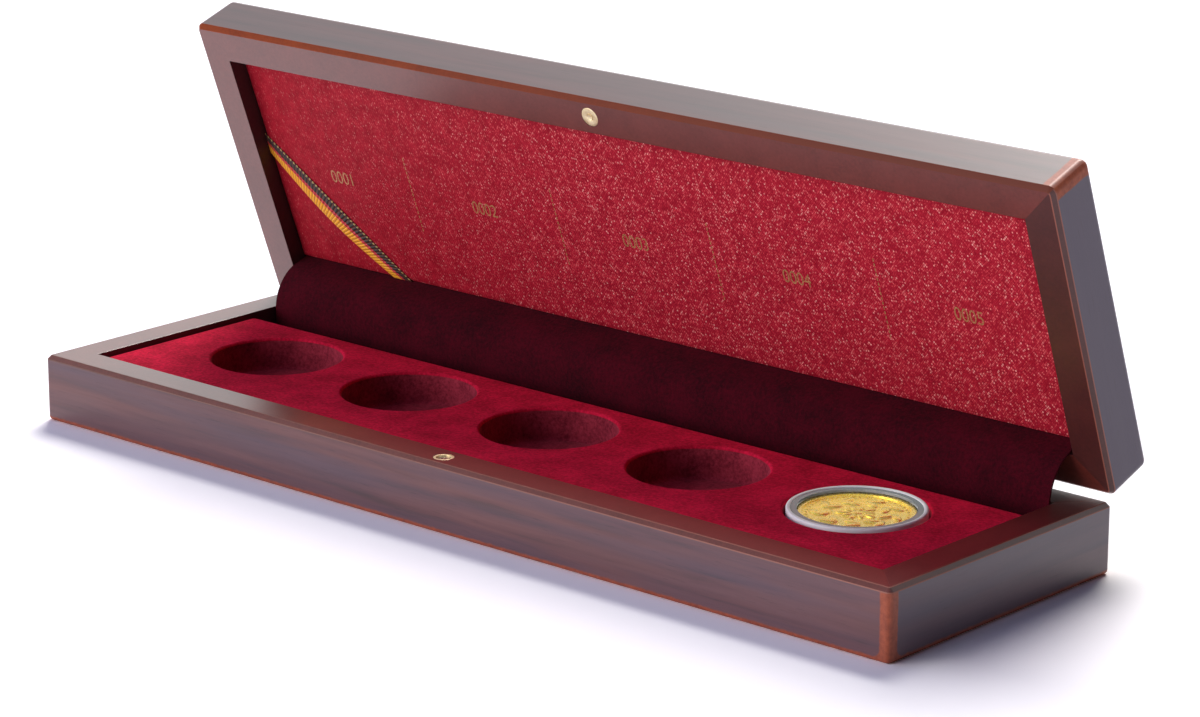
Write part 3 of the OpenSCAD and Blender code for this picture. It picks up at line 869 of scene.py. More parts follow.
tray = new_box("coin_tray_flock", tray_low, tray_high)
edit(tray)
soften(tray, upright, TRAY_CORNER, 5)
soften(tray, lambda e: lies_at(e, 2, tray_high.z), TRAY_ROUND, 5)
places = sorted(centre.x for centre in pocket_centres)
places += [(a + b) / 2 for a, b in zip(places, places[1:])]
saw_cuts = [(Vector((x, 0, 0)), Vector((1, 0, 0))) for x in places]
saw_cuts.append((capsule_centre, Vector((0, 1, 0))))
for point, normal in saw_cuts:
    bpy.ops.mesh.select_all(action="SELECT")
    bpy.ops.mesh.bisect(plane_co=point, plane_no=normal, threshold=FINE)
done()
wide_r = MOUTH_R + (MOUTH_R - FLOOR_R) / POCKET_DEPTH * CUT_OVER
for centre in pocket_centres:
    middle = Vector((centre.x, centre.y, tray_high.z + (CUT_OVER - POCKET_DEPTH) / 2))
    bpy.ops.object.select_all(action="DESELECT")
    bpy.ops.mesh.primitive_cone_add(
        vertices=128, radius1=FLOOR_R, radius2=wide_r, depth=POCKET_DEPTH + CUT_OVER, location=middle)
    cutter = bpy.context.object
    bpy.ops.object.transform_apply()
    cut_away(tray, cutter)
print("pockets:", len(pocket_centres))

# %% Tray pockets
MOUTH_ROUND = 0.7 * MM
FLOOR_FILLET = 0.9 * MM
RING_SLACK = 0.1 * MM


def from_pocket(point):
    """How far a point lies from the axis of the nearest pocket."""
    return min((point.xy - centre.xy).length for centre in pocket_centres)


def on_pocket(edge, height, radius):
    """Whether an edge is on the ring of that height and radius about one of the pockets."""
    return lies_at(edge, 2, height) and all(abs(from_pocket(v.co) - radius) < RING_SLACK for v in edge.verts)


def in_pocket(face):
    """Whether a face is inside a pocket, below its rounded mouth."""
    middle = face.calc_center_median()
    return middle.z < tray_high.z - MOUTH_ROUND and from_pocket(middle) < MOUTH_R and face.normal.z > -0.5


tray.data.materials.append(red_flock)
tray.data.materials.append(pocket_flock_painted_shade)
edit(tray)
soften(tray, lambda e: on_pocket(e, tray_high.z, MOUTH_R), MOUTH_ROUND, 6)
soften(tray, lambda e: on_pocket(e, tray_high.z - POCKET_DEPTH, FLOOR_R), FLOOR_FILLET, 4)
# The pocket insides get the flock with painted shade.
paint(tray, 1, in_pocket)
done()
smooth(tray, 40)
modify(tray, "WEIGHTED_NORMAL", keep_sharp=True)
finish_piece(tray, "base", "flock", "coin_tray")
print("tray faces:", len(tray.data.polygons))

# %% [markdown]
# The velvet strip hides the hinges. It is glued behind the tray, climbs the back rail, bends back round
# the hinge axis and ends behind the lining. Its section is a line, an arc about the axis and another
# line; where it spans free it waves a little, as cloth does. Like all sheets here it is a grid whose
# points are placed by a formula of two numbers, u across and v along, which is then given its thickness.

# %% Velvet strip
STRIP_T = 0.6 * MM
STRIP_WAVE = 0.35 * MM
STRIP_WAVE_L = 26 * MM
STRIP_WAVE_H = 9 * MM
STRIP_WAVE_PLACE = 2.3
GLUED_RUN = 9 * MM
TIGHT_RUN = 5 * MM


def cloth(name, across, along, place, thick):
    """A sheet of cloth of that many cells, with each point at place(u, v)."""
    bpy.ops.object.select_all(action="DESELECT")
    bpy.ops.mesh.primitive_grid_add(x_subdivisions=across, y_subdivisions=along, size=1)
    piece = named(bpy.context.object, name)
    for vert in piece.data.vertices:
        vert.co = place(vert.co.x + 0.5, vert.co.y + 0.5)
    modify(piece, "SOLIDIFY", thickness=thick, offset=0)
    edit(piece)
    face_outwards()
    done()
    return piece


strip_low, strip_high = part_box("velvet_strip")
strip_y = strip_low.y + STRIP_T / 2
strip_w = strip_high.x - strip_low.x
rise_run = hinge_point.z - strip_low.z
arc_run = (hinge_point.y - strip_y) * lid_lean
strip_run = rise_run + arc_run + shut_box("lining_packing")[0].z - hinge_point.z


def strip_point(u, v):
    """A point of the strip, u along the case and v from the foot in the base to the edge in the lid."""
    x = strip_low.x + u * strip_w
    gone = v * strip_run
    free = min(max((gone - GLUED_RUN) / (rise_run + arc_run - TIGHT_RUN), 0), 1)
    ripple = noise.noise(Vector((x / STRIP_WAVE_L, gone / STRIP_WAVE_H, STRIP_WAVE_PLACE)))
    y = strip_y + ripple * STRIP_WAVE * math.sin(math.pi * free) ** 2
    if gone <= rise_run:
        return Vector((x, y, strip_low.z + gone))
    share = min((gone - rise_run) / arc_run, 1)
    past_arc = max(gone - rise_run - arc_run, 0)
    return about_hinge(-lid_lean * share) @ Vector((x, y, hinge_point.z + past_arc))


strip = cloth("velvet_strip_cloth", 220, 56, strip_point, STRIP_T)
strip.data.materials.append(dark_velvet)
smooth(strip, 60)
bend_start = strip_point(0.5, rise_run / strip_run)
bend_end = strip_point(0.5, (rise_run + arc_run) / strip_run)
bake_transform(strip)
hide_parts("velvet_strip")
print("strip flat size in mm:", in_mm((strip_w, strip_run)))

# %% [markdown]
# The felt under the base is one thin sheet, glued flat.

# %% Felt
felt_low, felt_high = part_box("base_felt")
felt_size = felt_high - felt_low


def felt_point(u, v):
    """A point of the felt, in the middle of its thickness."""
    return felt_low + Vector((u * felt_size.x, v * felt_size.y, felt_size.z / 2))


felt = cloth("base_felt_sheet", 60, 20, felt_point, felt_size.z)
felt.data.materials.append(dark_felt)
finish_piece(felt, "base", "felt", "base_felt")
print("felt in mm:", in_mm(felt_size))

# %% [markdown]
# Behind the lining lies a flat pad of pale wadding. It is a soft block: a box with rounded edges, cut
# into small faces, with slow noise that makes its faces uneven by a fraction of a millimetre.

# %% Wadding
WADDING_ROUND = 1.2 * MM
WADDING_LUMP = 0.15 * MM
WADDING_LUMP_L = 11 * MM
WADDING_CUTS = (40, 10)

wadding = speckled(
    "pale_wadding", 1.5 * MM, 5.0, (0.3, "#d8d3c6"), (0.7, "#ece8de"), {"Roughness": 1.0}, (0.5, 0.3 * MM))
pad_low, pad_high = shut_box("lining_packing")
pad_room = Vector((1, 1, 1)) * WADDING_LUMP
pad = new_box("lining_wadding", pad_low + pad_room, pad_high - pad_room)
edit(pad)
soften(pad, every, WADDING_ROUND, 3)
for axis, count in enumerate(WADDING_CUTS):
    normal = Vector((axis == 0, axis == 1, 0))
    for i in range(1, count):
        bpy.ops.mesh.select_all(action="SELECT")
        bpy.ops.mesh.bisect(plane_co=pad_low.lerp(pad_high, i / count), plane_no=normal, threshold=FINE)
done()
for vert in pad.data.vertices:
    vert.co.z += WADDING_LUMP * noise.noise(vert.co / WADDING_LUMP_L)
pad.data.materials.append(wadding)
turn_open(pad)
smooth(pad, 60)
finish_piece(pad, "lid", "packing", "lining_packing")
print("wadding faces:", len(pad.data.polygons))

# %% [markdown]
# The lining is a red satin drawn over a card. Threads come up at the crossings of a fine diagonal lattice
# on a deeper red ground. Their glitter is painted: some crossings are much brighter and paler than others
# as painted glints, in patches, and fewer towards the left end as a painted highlight. The weave is drawn
# on the cloth's own UV map, which is first turned to millimetres. The real threads are finer; these are
# as coarse as it takes to show.

# %% Satin weave
LATTICE_MM = 0.54
LATTICE_LEAN = math.radians(40)
PAINTED_GLINT_FROM_MM = 10.0
PAINTED_GLINT_FULL_MM = 120.0

board_low, board_high = shut_box("lining_board")
board_size = board_high - board_low

satin, tree = new_material("red_satin_twill")
across_mm = (board_size.x / MM, board_size.y / MM, 1)
cloth_uv = add(tree, "TexCoord").outputs["UV"]
flat = add(tree, "VectorMath", {0: cloth_uv, 1: across_mm}, operation="MULTIPLY")
waver = add(tree, "TexNoise", {"Vector": flat, "Scale": 0.12, "Detail": 2.0})
drawn = add(tree, "VectorMath", {
    0: waver.outputs["Color"], 1: (1.6, 1.6, 0), 2: flat}, operation="MULTIPLY_ADD")
numbers, offsets = [], []
for lean in (LATTICE_LEAN, -LATTICE_LEAN):
    across = (math.cos(lean) / LATTICE_MM, math.sin(lean) / LATTICE_MM, 0)
    way = add(tree, "VectorMath", {0: drawn, 1: across}, operation="DOT_PRODUCT")
    number = add(tree, "Math", {0: way.outputs["Value"]}, operation="ROUND")
    offset = add(tree, "Math", {0: way.outputs["Value"], 1: number}, operation="SUBTRACT")
    numbers.append(number)
    offsets.append(offset)
from_crossing = add(tree, "CombineXYZ", {0: offsets[0], 1: offsets[1]})
far_off = add(tree, "VectorMath", {0: from_crossing}, operation="LENGTH")
dot = add(tree, "MapRange", {
    "Value": far_off.outputs["Value"], "From Min": 0.6, "From Max": 0.2, "To Min": 0.0, "To Max": 1.0},
    interpolation_type="SMOOTHSTEP")
cell = add(tree, "CombineXYZ", {0: numbers[0], 1: numbers[1]})
chance = add(tree, "TexWhiteNoise", {"Vector": cell}, noise_dimensions="2D")
# The thread's bright and pale pink tones are painted glints.
thread_and_painted_glint = add(tree, "ValToRGB", {0: chance.outputs["Value"]})
set_ramp(thread_and_painted_glint, (0.0, "#98142e"), (0.45, "#b8283c"), (0.75, "#d64a54"), (0.93, "#ea7274"), (1.0, "#ffaca4"))
slow = add(tree, "TexNoise", {"Vector": flat, "Scale": 1 / 4, "Detail": 4.0, "Roughness": 0.65})
ground = add(tree, "ValToRGB", {0: slow})
set_ramp(ground, (0.35, "#920e20"), (0.65, "#ac1a2c"))
parts = add(tree, "SeparateXYZ", {0: flat})
# Painted highlight: fewer glints towards the left end.
painted_glint_fade = add(tree, "MapRange", {
    "Value": parts.outputs["X"], "From Min": PAINTED_GLINT_FROM_MM, "From Max": PAINTED_GLINT_FULL_MM,
    "To Min": 0.2, "To Max": 1.0})
cluster = add(tree, "MapRange", {
    "Value": slow, "From Min": 0.35, "From Max": 0.65, "To Min": 0.7, "To Max": 1.05})
glint = add(tree, "Math", {0: painted_glint_fade, 1: cluster}, operation="MULTIPLY")
amount = add(tree, "Math", {0: glint, 1: dot}, operation="MULTIPLY")
woven = add(tree, "Mix", {0: amount, 6: ground, 7: thread_and_painted_glint}, data_type="RGBA")
dents = add(tree, "Bump", {"Strength": 0.3, "Distance": 0.12 * MM, "Height": dot})
shader = add(tree, "BsdfPrincipled", {
    "Base Color": woven.outputs[2], "Roughness": 0.6, "Specular IOR Level": 0.1, "Normal": dents})
add(tree, "OutputMaterial", {"Surface": shader})
print("satin lattice in mm:", LATTICE_MM)

# %% Satin and its card
SATIN_T = 0.4 * MM
EDGE_TURN = 0.9 * MM
EDGE_FALL = 0.6 * MM
CARD_INSET = Vector((0.35, 0.35, 0)) * MM
CARD_BEHIND = Vector((0, 0, 1.05)) * MM
CARD_ARRIS = 0.2 * MM


def satin_point(u, v):
    """A point of the satin, which lies on the card's face and rolls over its four edges."""
    x = board_low.x + SATIN_T / 2 + u * (board_size.x - SATIN_T)
    y = board_low.y + SATIN_T / 2 + v * (board_size.y - SATIN_T)
    to_edge = min(x - board_low.x, board_high.x - x, y - board_low.y, board_high.y - y)
    fall = max(0.0, 1 - to_edge / EDGE_TURN)
    return Vector((x, y, board_low.z + SATIN_T / 2 + EDGE_FALL * fall ** 2))


lining = cloth("lining_satin", 260, 64, satin_point, SATIN_T)
lining.data.materials.append(satin)
turn_open(lining)
smooth(lining, 60)

grey_card = speckled("grey_card", 1.2 * MM, 4.0, (0.3, "#8f8b84"), (0.7, "#a7a39b"), {"Roughness": 0.9})
card = new_box("lining_card", board_low + CARD_INSET + CARD_BEHIND, board_high - CARD_INSET)
edit(card)
soften(card, every, CARD_ARRIS, 2)
done()
card.data.materials.append(grey_card)
turn_open(card)
smooth(card, 25)
finish_piece(lining, "lid", "satin", "lining_board")
finish_piece(card, "lid", "satin")
print("satin flat size in mm:", in_mm((board_size.x, board_size.y)))

# %% [markdown]
# Small marks are printed on the satin in dull gold: a number for each pocket and dashed lines between
# them. Numbers are text turned to a mesh, a few hundredths of a millimetre thick, lying on the cloth.

# %% Printed marks
NUMBER_H = 5.4 * MM
NUMBER_NARROW = 0.82
NUMBER_STEP = 52 * MM
NUMBER_Y = 2 * MM
NUMBER_COUNT = 5
PRINT_T = 0.03 * MM
DASH_W = 0.32 * MM
DASH_L = 0.9 * MM
DASH_STEP = 1.35 * MM
DASH_COUNT = 17
DIVIDER_LOW = -9 * MM

gold_print = speckled(
    "dull_gold_print", 0.4 * MM, 3.0, (0.4, "#a46a44"), (0.62, "#c48c5e"),
    {"Metallic": 0.3, "Roughness": 0.5})


def printed_number(value, x):
    """A number in print, as a mesh in its place on the satin of the shut lid."""
    bpy.ops.object.select_all(action="DESELECT")
    bpy.ops.object.text_add()
    number = bpy.context.object
    number.data.body = f"{value:04d}"
    number.data.size = NUMBER_H
    number.data.extrude = PRINT_T / 2
    number.data.align_x = "CENTER"
    number.data.align_y = "CENTER"
    bpy.ops.object.convert(target="MESH")
    number.rotation_euler = (math.pi, 0, 0)
    number.scale = (NUMBER_NARROW, 1, 1)
    number.location = (x, NUMBER_Y, board_low.z - PRINT_T / 2)
    bpy.ops.object.transform_apply()
    return number


first_x = -(NUMBER_COUNT - 1) / 2 * NUMBER_STEP
marks = [printed_number(i + 1, first_x + i * NUMBER_STEP) for i in range(NUMBER_COUNT)]
corner = Vector((first_x + (NUMBER_STEP - DASH_W) / 2, DIVIDER_LOW, board_low.z - PRINT_T))
first_dash = new_box("dash", corner, corner + Vector((DASH_W, DASH_L, PRINT_T)))
for i in range(NUMBER_COUNT - 1):
    for k in range(DASH_COUNT):
        dash = own_copy(first_dash, "dash_copy")
        dash.data.transform(Matrix.Translation((i * NUMBER_STEP, k * DASH_STEP, 0)))
        marks.append(dash)
bpy.data.objects.remove(first_dash)
mark_count = len(marks)
print_marks = join("lining_print", marks)
print_marks.data.materials.clear()
print_marks.data.materials.append(gold_print)
turn_open(print_marks)
finish_piece(print_marks, "lid", "satin")
print("printed marks:", mark_count)

# %% [markdown]
# A narrow ribbed ribbon crosses the corner of the lining, to tuck a certificate behind. It is woven in
# three bands: black with a line of gold stitches at its edge, red, and gold. The ribs run across it, so
# its grid is fine enough along its length to carry them. Its ends are pinched behind the lining's edges,
# so it is widest in the middle, where its gold edge sags towards the corner.

# %% Ribbon shape
RIBBON_W = 4.5 * MM
RIBBON_T = 0.3 * MM
RIBBON_RISE = 36 * MM
RIBBON_RUN = 38.5 * MM
RIBBON_BOW = 2.3 * MM
RIBBON_CROWN = 0.12 * MM
RIBBON_GAP = 0.05 * MM
RIBBON_TUCK = 0.1 * MM
PINCH = 14
RIB = 1.15 * MM
RIB_H = 0.15 * MM

ribbon_corner = Vector((board_low.x, board_high.y, 0))
ribbon_start = ribbon_corner + Vector((RIBBON_TUCK, -RIBBON_RISE, 0))
ribbon_end = ribbon_corner + Vector((RIBBON_RUN, -RIBBON_TUCK, 0))
ribbon_way = (ribbon_end - ribbon_start).normalized()
ribbon_length = (ribbon_end - ribbon_start).length
rib_count = ribbon_length / RIB


def ribbon_point(u, v):
    """A point of the ribbon, u across from the gold edge to the black and v along from the left end."""
    off = (u - 0.5) * RIBBON_W - (1 - u) * math.sin(math.pi * v) * RIBBON_BOW
    first = ribbon_start + Vector((0, -off / ribbon_way.x, 0))
    last = ribbon_end + Vector((off / ribbon_way.y, 0, 0))
    point = first.lerp(last, v)
    crown = 1 - (2 * u - 1) ** 4
    rib = RIB_H * (0.5 + 0.5 * math.cos(2 * math.pi * v * rib_count))
    ends = min(1, v * PINCH, (1 - v) * PINCH)
    lift = RIBBON_T / 2 + RIBBON_GAP + crown * (RIBBON_CROWN + rib) * ends
    return Vector((point.x, point.y, board_low.z - lift))


ribbon = cloth("ribbon_band", 24, 420, ribbon_point, RIBBON_T * 0.5)
print("ribbon length in mm:", round(ribbon_length / MM, 1))

# %% Ribbon yarn
STITCH_FROM = 0.93
RIDGE_FROM = 0.1

ribbon_yarn, tree = new_material("ribbed_three_colour_ribbon")
cloth_uv = add(tree, "TexCoord").outputs["UV"]
parts = add(tree, "SeparateXYZ", {0: cloth_uv})
bands = add(tree, "ValToRGB", {0: parts.outputs["X"]})
bands.color_ramp.interpolation = "CONSTANT"
set_ramp(bands, (0.0, "#ffb428"), (0.46, "#d03040"), (0.63, "#17161a"), (0.98, "#17161a"))
phase = add(tree, "Math", {0: parts.outputs["Y"], 1: 2 * math.pi * rib_count}, operation="MULTIPLY")
ridge = add(tree, "Math", {0: phase}, operation="COSINE")
edge = add(tree, "Math", {0: parts.outputs["X"], 1: STITCH_FROM}, operation="GREATER_THAN")
top = add(tree, "Math", {0: ridge, 1: RIDGE_FROM}, operation="GREATER_THAN")
stitch = add(tree, "Math", {0: edge, 1: top}, operation="MULTIPLY")
stitched = add(tree, "Mix", {0: stitch, 6: bands, 7: linear("#b49a5c")}, data_type="RGBA")
# Painted shade: the valleys between the ribs are darkened towards brown.
rib_valley_painted_shade = add(tree, "MapRange", {
    "Value": ridge, "From Min": -1.0, "From Max": RIDGE_FROM, "To Min": 0.5, "To Max": 0.0})
shaded = add(tree, "Mix", {0: rib_valley_painted_shade, 6: stitched.outputs[2], 7: linear("#6a1a06")}, data_type="RGBA")
shader = add(tree, "BsdfPrincipled", {
    "Base Color": shaded.outputs[2], "Roughness": 0.55,
    "Sheen Weight": 0.1, "Sheen Tint": linear("#ffd080")})
add(tree, "OutputMaterial", {"Surface": shader})
ribbon.data.materials.append(ribbon_yarn)
turn_open(ribbon)
smooth(ribbon, 60)
finish_piece(ribbon, "lid", "ribbon", "ribbon")
print("ribs:", round(rib_count))

# %% [markdown]
# Metals: brass fittings, a nickel-plated magnet, bright steel pins and springs, and the coin's gold. Each
# has a fine unevenness in its roughness, as handled and tumbled metal has. A matted or frosted face throws
# most light back in all directions, so such metals mix a dull share with their mirror share. The hinge
# leaves, pins and screws keep the shape of their solids.

# %% Metals
def metal(name, main, deep, rough_low, rough_high, scratch, mirror):
    """Metal with slow changes of gloss and tone; mirror is its share of clean reflection."""
    material, tree = new_material(name)
    here = add(tree, "TexCoord").outputs["Object"]
    clouds = add(tree, "TexNoise", {
        "Vector": here, "Scale": 1 / scratch, "Detail": 5.0, "Roughness": 0.65})
    colour = add(tree, "ValToRGB", {0: clouds})
    set_ramp(colour, (0.35, deep), (0.6, main))
    gloss = add(tree, "MapRange", {
        "Value": clouds, "From Min": 0.3, "From Max": 0.7,
        "To Min": rough_low, "To Max": rough_high})
    shader = add(tree, "BsdfPrincipled", {"Base Color": colour, "Metallic": mirror, "Roughness": gloss})
    add(tree, "OutputMaterial", {"Surface": shader})
    return material


brass = metal("polished_brass", "#f0e2bc", "#e0ca98", 0.35, 0.5, 1.5 * MM, 0.7)
nickel = metal("nickel_plate", "#b4aca2", "#9c948a", 0.2, 0.35, 1.2 * MM, 0.9)
steel = metal("bright_steel", "#b9bbbf", "#a2a4a8", 0.25, 0.4, 1.0 * MM, 1.0)
gold_field = metal("gold_polished_field", "#ffe864", "#ffe056", 0.24, 0.3, 3 * MM, 0.9)
gold_relief = metal("gold_frosted_relief", "#ffe86c", "#ffe05e", 0.24, 0.3, 2 * MM, 0.85)

for side in ("left", "right"):
    refinish(f"{side}_hinge_base_leaf", brass)
    refinish(f"{side}_hinge_lid_leaf", brass)
    refinish(f"{side}_hinge_pin", steel)
for half_name in ("base", "lid"):
    refinish(f"{half_name}_hinge_screws", brass)
print("metals:", brass.name, nickel.name, steel.name, gold_field.name, gold_relief.name)

# %% [markdown]
# The springs on the hinge pins hold the lid open. A spring is a small circle of wire that is screwed along
# the pin, turn against turn, with its two ends closed.

# %% Hinge springs
WIRE_R = 0.28 * MM
COIL_R = 0.95 * MM
COIL_TURNS = 14
COIL_STEPS = 20

for side in ("left", "right"):
    low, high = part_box(f"{side}_hinge_spring")
    bpy.ops.object.select_all(action="DESELECT")
    bpy.ops.mesh.primitive_circle_add(vertices=10, radius=WIRE_R)
    spring = bpy.context.object
    spring.name = f"{side}_hinge_spring_coil"
    edit(spring)
    bpy.ops.mesh.select_all(action="SELECT")
    bpy.ops.transform.translate(value=(0, COIL_R, 0))
    done()
    pitch = (high.x - low.x - 2 * WIRE_R) / COIL_TURNS
    modify(
        spring, "SCREW", axis="X", steps=COIL_STEPS, render_steps=COIL_STEPS, screw_offset=pitch,
        iterations=COIL_TURNS, use_merge_vertices=True)
    edit(spring)
    bpy.ops.mesh.select_all(action="SELECT")
    bpy.ops.mesh.fill_holes(sides=0)
    face_outwards()
    done()
    spring.location = (low.x + WIRE_R, hinge_point.y, hinge_point.z)
    bpy.context.view_layer.update()
    bpy.ops.object.transform_apply()
    spring.data.materials.append(steel)
    smooth(spring, 60)
    finish_piece(spring, "base", "steel", f"{side}_hinge_spring")
    print(spring.name, "faces:", len(spring.data.polygons))

# %% [markdown]
# The catch is a magnet in a brass ferrule, let into the base's front rim, and a plain brass strike in the
# lid's. All three are turned parts: a cylinder whose faces are inset and pushed, with the arrises broken.

# %% Catch
TURNED_ARRIS = 0.18 * MM
BORE_DEPTH = 10 * MM
STRIKE_RIM_W = 1.7 * MM
STRIKE_DISH = 0.06 * MM
SHARP = math.radians(50)


def turned_blank(name, low, high, sides=64):
    """A round blank that fills a box, standing upright."""
    bpy.ops.object.select_all(action="DESELECT")
    bpy.ops.mesh.primitive_cylinder_add(
        vertices=sides, radius=(high.x - low.x) / 2, depth=high.z - low.z, location=(low + high) / 2)
    piece = named(bpy.context.object, name)
    bpy.ops.object.transform_apply()
    return piece


def is_round_flat(face):
    """Whether a face is a whole flat disc, not a facet of a wall."""
    return abs(face.normal.z) > 0.99 and len(face.verts) > 8


def push_face(piece, height, inset, depth):
    """Insets the flat face at a height and pushes it up or down by the depth."""
    pick(piece, "FACE", lambda f: is_round_flat(f) and lies_at(f, 2, height))
    bpy.ops.mesh.inset(thickness=inset)
    if depth:
        bpy.ops.mesh.extrude_region_move(TRANSFORM_OT_translate={"value": (0, 0, depth)})


def is_sharp(edge):
    """Whether an edge lies between a flat face and a round wall."""
    return len(edge.link_faces) == 2 and edge.calc_face_angle() > SHARP


ferrule_low, ferrule_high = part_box("catch_ferrule")
magnet_low, magnet_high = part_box("catch_magnet")
strike_low, strike_high = shut_box("catch_strike")
ferrule = turned_blank("catch_ferrule_ring", ferrule_low, ferrule_high)
bore_r = (magnet_high.x - magnet_low.x) / 2 + HOLE_GAP
cut_away(ferrule, cylinder_cutter((ferrule_low + ferrule_high) / 2, bore_r, BORE_DEPTH))
magnet = turned_blank("catch_magnet_disc", magnet_low, magnet_high)
strike = turned_blank("catch_strike_disc", strike_low, strike_high)
edit(strike)
push_face(strike, strike_low.z, STRIKE_RIM_W, STRIKE_DISH)
done()
for piece, body, slot, finish, node in (
    (ferrule, "base", "brass", brass, "catch_ferrule"),
    (magnet, "base", "magnet", nickel, "catch_magnet"),
    (strike, "lid", "brass", brass, "catch_strike"),
):
    edit(piece)
    soften(piece, is_sharp, TURNED_ARRIS, 3)
    done()
    piece.data.materials.append(finish)
    if body == "lid":
        turn_open(piece)
    smooth(piece, 35)
    finish_piece(piece, body, slot, node)
print("catch faces:", len(ferrule.data.polygons), len(magnet.data.polygons), len(strike.data.polygons))

# %% [markdown]
# The capsule is two clear moulded halves, one sprung over the other's spigot. The lower half is clear
# acrylic. In the upper half the ring's look is painted: a milky white on the ring as painted reflection,
# a brighter white on its outer wall as a painted highlight, a slate grey on the band inside its step as
# painted reflection, and a dark grey on the wall round the coin as painted shade. The window over the coin
# is thin and clean and hardly shows. Light falls through all of it.

# %% Acrylic
def clear_plastic(name, tint, clear, seen=1.0):
    """Moulded plastic; clear is its share of glass against milk, and seen how much it shows at all."""
    material, tree = new_material(name)
    here = add(tree, "TexCoord").outputs["Object"]
    haze = add(tree, "TexNoise", {"Vector": here, "Scale": 1 / (6 * MM), "Detail": 3.0})
    gloss = add(tree, "MapRange", {"Value": haze, "To Min": 0.02, "To Max": 0.08})
    shader = add(tree, "BsdfPrincipled", {
        "Base Color": linear(tint), "Roughness": gloss, "IOR": 1.49,
        "Transmission Weight": clear, "Alpha": seen})
    through = add(tree, "BsdfTransparent", {"Color": linear("#ffffff")})
    path = add(tree, "LightPath")
    shown = add(tree, "MixShader", {0: path.outputs["Is Shadow Ray"], 1: shader, 2: through})
    add(tree, "OutputMaterial", {"Surface": shown})
    return material


acrylic = clear_plastic("clear_acrylic", "#f6f9fb", 1.0)
# Painted reflection: a milky white share stands in for what the ring mirrors.
acrylic_ring = clear_plastic("acrylic_ring_painted_reflection", "#f6faf8", 0.2)
# Painted reflection: the slate grey band inside the step.
acrylic_step = clear_plastic("acrylic_step_painted_reflection", "#747e84", 0.3)
acrylic_window = clear_plastic("thin_acrylic_window", "#ffffff", 1.0, 0.05)
# Painted highlight: the brighter white of the outer wall.
acrylic_edge = clear_plastic("acrylic_edge_painted_highlight", "#fafdfb", 0.08)
# Painted shade: the dark grey wall round the coin.
acrylic_well = clear_plastic("acrylic_well_painted_shade", "#30353d", 0.3)
print("acrylic:", acrylic.name, acrylic_ring.name, acrylic_window.name)

# %% [markdown]
# Each half of the capsule is a round blank with its faces inset and pushed: a well with a ledge for the
# coin and a spigot below, the matching step above.

# %% Capsule halves
SPIGOT_H = 1.4 * MM
SPIGOT_W = 1.2 * MM
WINDOW = 0.9 * MM
LEDGE_W = 1.2 * MM
STEP_W = 1.2 * MM
STEP_H = 0.25 * MM
FIT = 0.1 * MM

half_low, half_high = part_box("capsule_base")
cap_low, cap_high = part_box("capsule_cap")
coin_low, coin_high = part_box("coin")
split = cap_low.z
capsule_r = (half_high.x - half_low.x) / 2
well_wall = capsule_r - (coin_high.x - coin_low.x) / 2 - FIT

lower = turned_blank("capsule_lower_half", half_low, Vector((half_high.x, half_high.y, split)), 128)
edit(lower)
push_face(lower, split, SPIGOT_W, SPIGOT_H)
push_face(lower, split + SPIGOT_H, well_wall - SPIGOT_W, coin_low.z - split - SPIGOT_H)
push_face(lower, coin_low.z, LEDGE_W + FIT, half_low.z + WINDOW - coin_low.z)
done()
upper = turned_blank("capsule_upper_half", cap_low, cap_high, 128)
socket_z = split + SPIGOT_H + FIT
edit(upper)
push_face(upper, split, SPIGOT_W - FIT, SPIGOT_H + FIT)
push_face(upper, socket_z, well_wall - SPIGOT_W + FIT, cap_high.z - WINDOW - socket_z)
push_face(upper, cap_high.z, STEP_W, -STEP_H)
push_face(upper, cap_high.z - STEP_H, well_wall - STEP_W, 0)
done()
print("capsule radius and wall in mm:", in_mm((capsule_r, well_wall)))

# %% Capsule finishes
CAPSULE_ARRIS = 0.45 * MM
WINDOW_AREA = 400 * MM * MM


def from_axis(face):
    """How far the middle of a face lies from the capsule's axis."""
    return (face.calc_center_median().xy - capsule_centre.xy).length


def is_window(face):
    """Whether a face of the cap is one of the two sides of its window."""
    return is_round_flat(face) and face.calc_area() > WINDOW_AREA


def is_edge(face):
    """Whether a face of the cap is on its outer wall or the round above it."""
    return from_axis(face) > capsule_r - CAPSULE_ARRIS and face.normal.z < 0.9


def is_well(face):
    """Whether a face of the cap is on the wall round the coin or on the step in its top."""
    from_rim = capsule_r - from_axis(face)
    return abs(face.normal.z) < 0.3 and any(abs(from_rim - wall) < 2 * FIT for wall in (well_wall, STEP_W))


def is_step(face):
    """Whether a face of the cap is on the band between its step and its window."""
    return face.normal.z > 0.9 and capsule_r - well_wall < from_axis(face) < capsule_r - STEP_W


cap_finishes = (
    (acrylic_window, is_window), (acrylic_edge, is_edge), (acrylic_well, is_well), (acrylic_step, is_step))
for piece, node, outer_z, main, finishes in (
    (lower, "capsule_base", half_low.z, acrylic, ()),
    (upper, "capsule_cap", cap_high.z, acrylic_ring, cap_finishes),
):
    edit(piece)
    face_outwards()
    soften(piece, lambda e: lies_at(e, 2, outer_z) and e.calc_face_angle() > QUARTER / 2, CAPSULE_ARRIS, 4)
    piece.data.materials.append(main)
    for number, (material, test) in enumerate(finishes, 1):
        piece.data.materials.append(material)
        paint(piece, number, test)
    done()
    smooth(piece, 35)
    finish_piece(piece, "capsule", "clear_plastic", node)
print("capsule faces:", len(lower.data.polygons), len(upper.data.polygons))

# %% [markdown]
# The coin is a struck gold blank: a raised rim, a ring of beads, a wreath of broad leaves and a rayed star
# in the middle, of a general kind. Beads, leaves and rays are copies of one small dome, sunk into the
# polished field, and they are frosted like the rim.

# %% Coin blank
COIN_RIM_W = 1.1 * MM
COIN_RIM_H = 0.5 * MM
COIN_ARRIS = 0.1 * MM

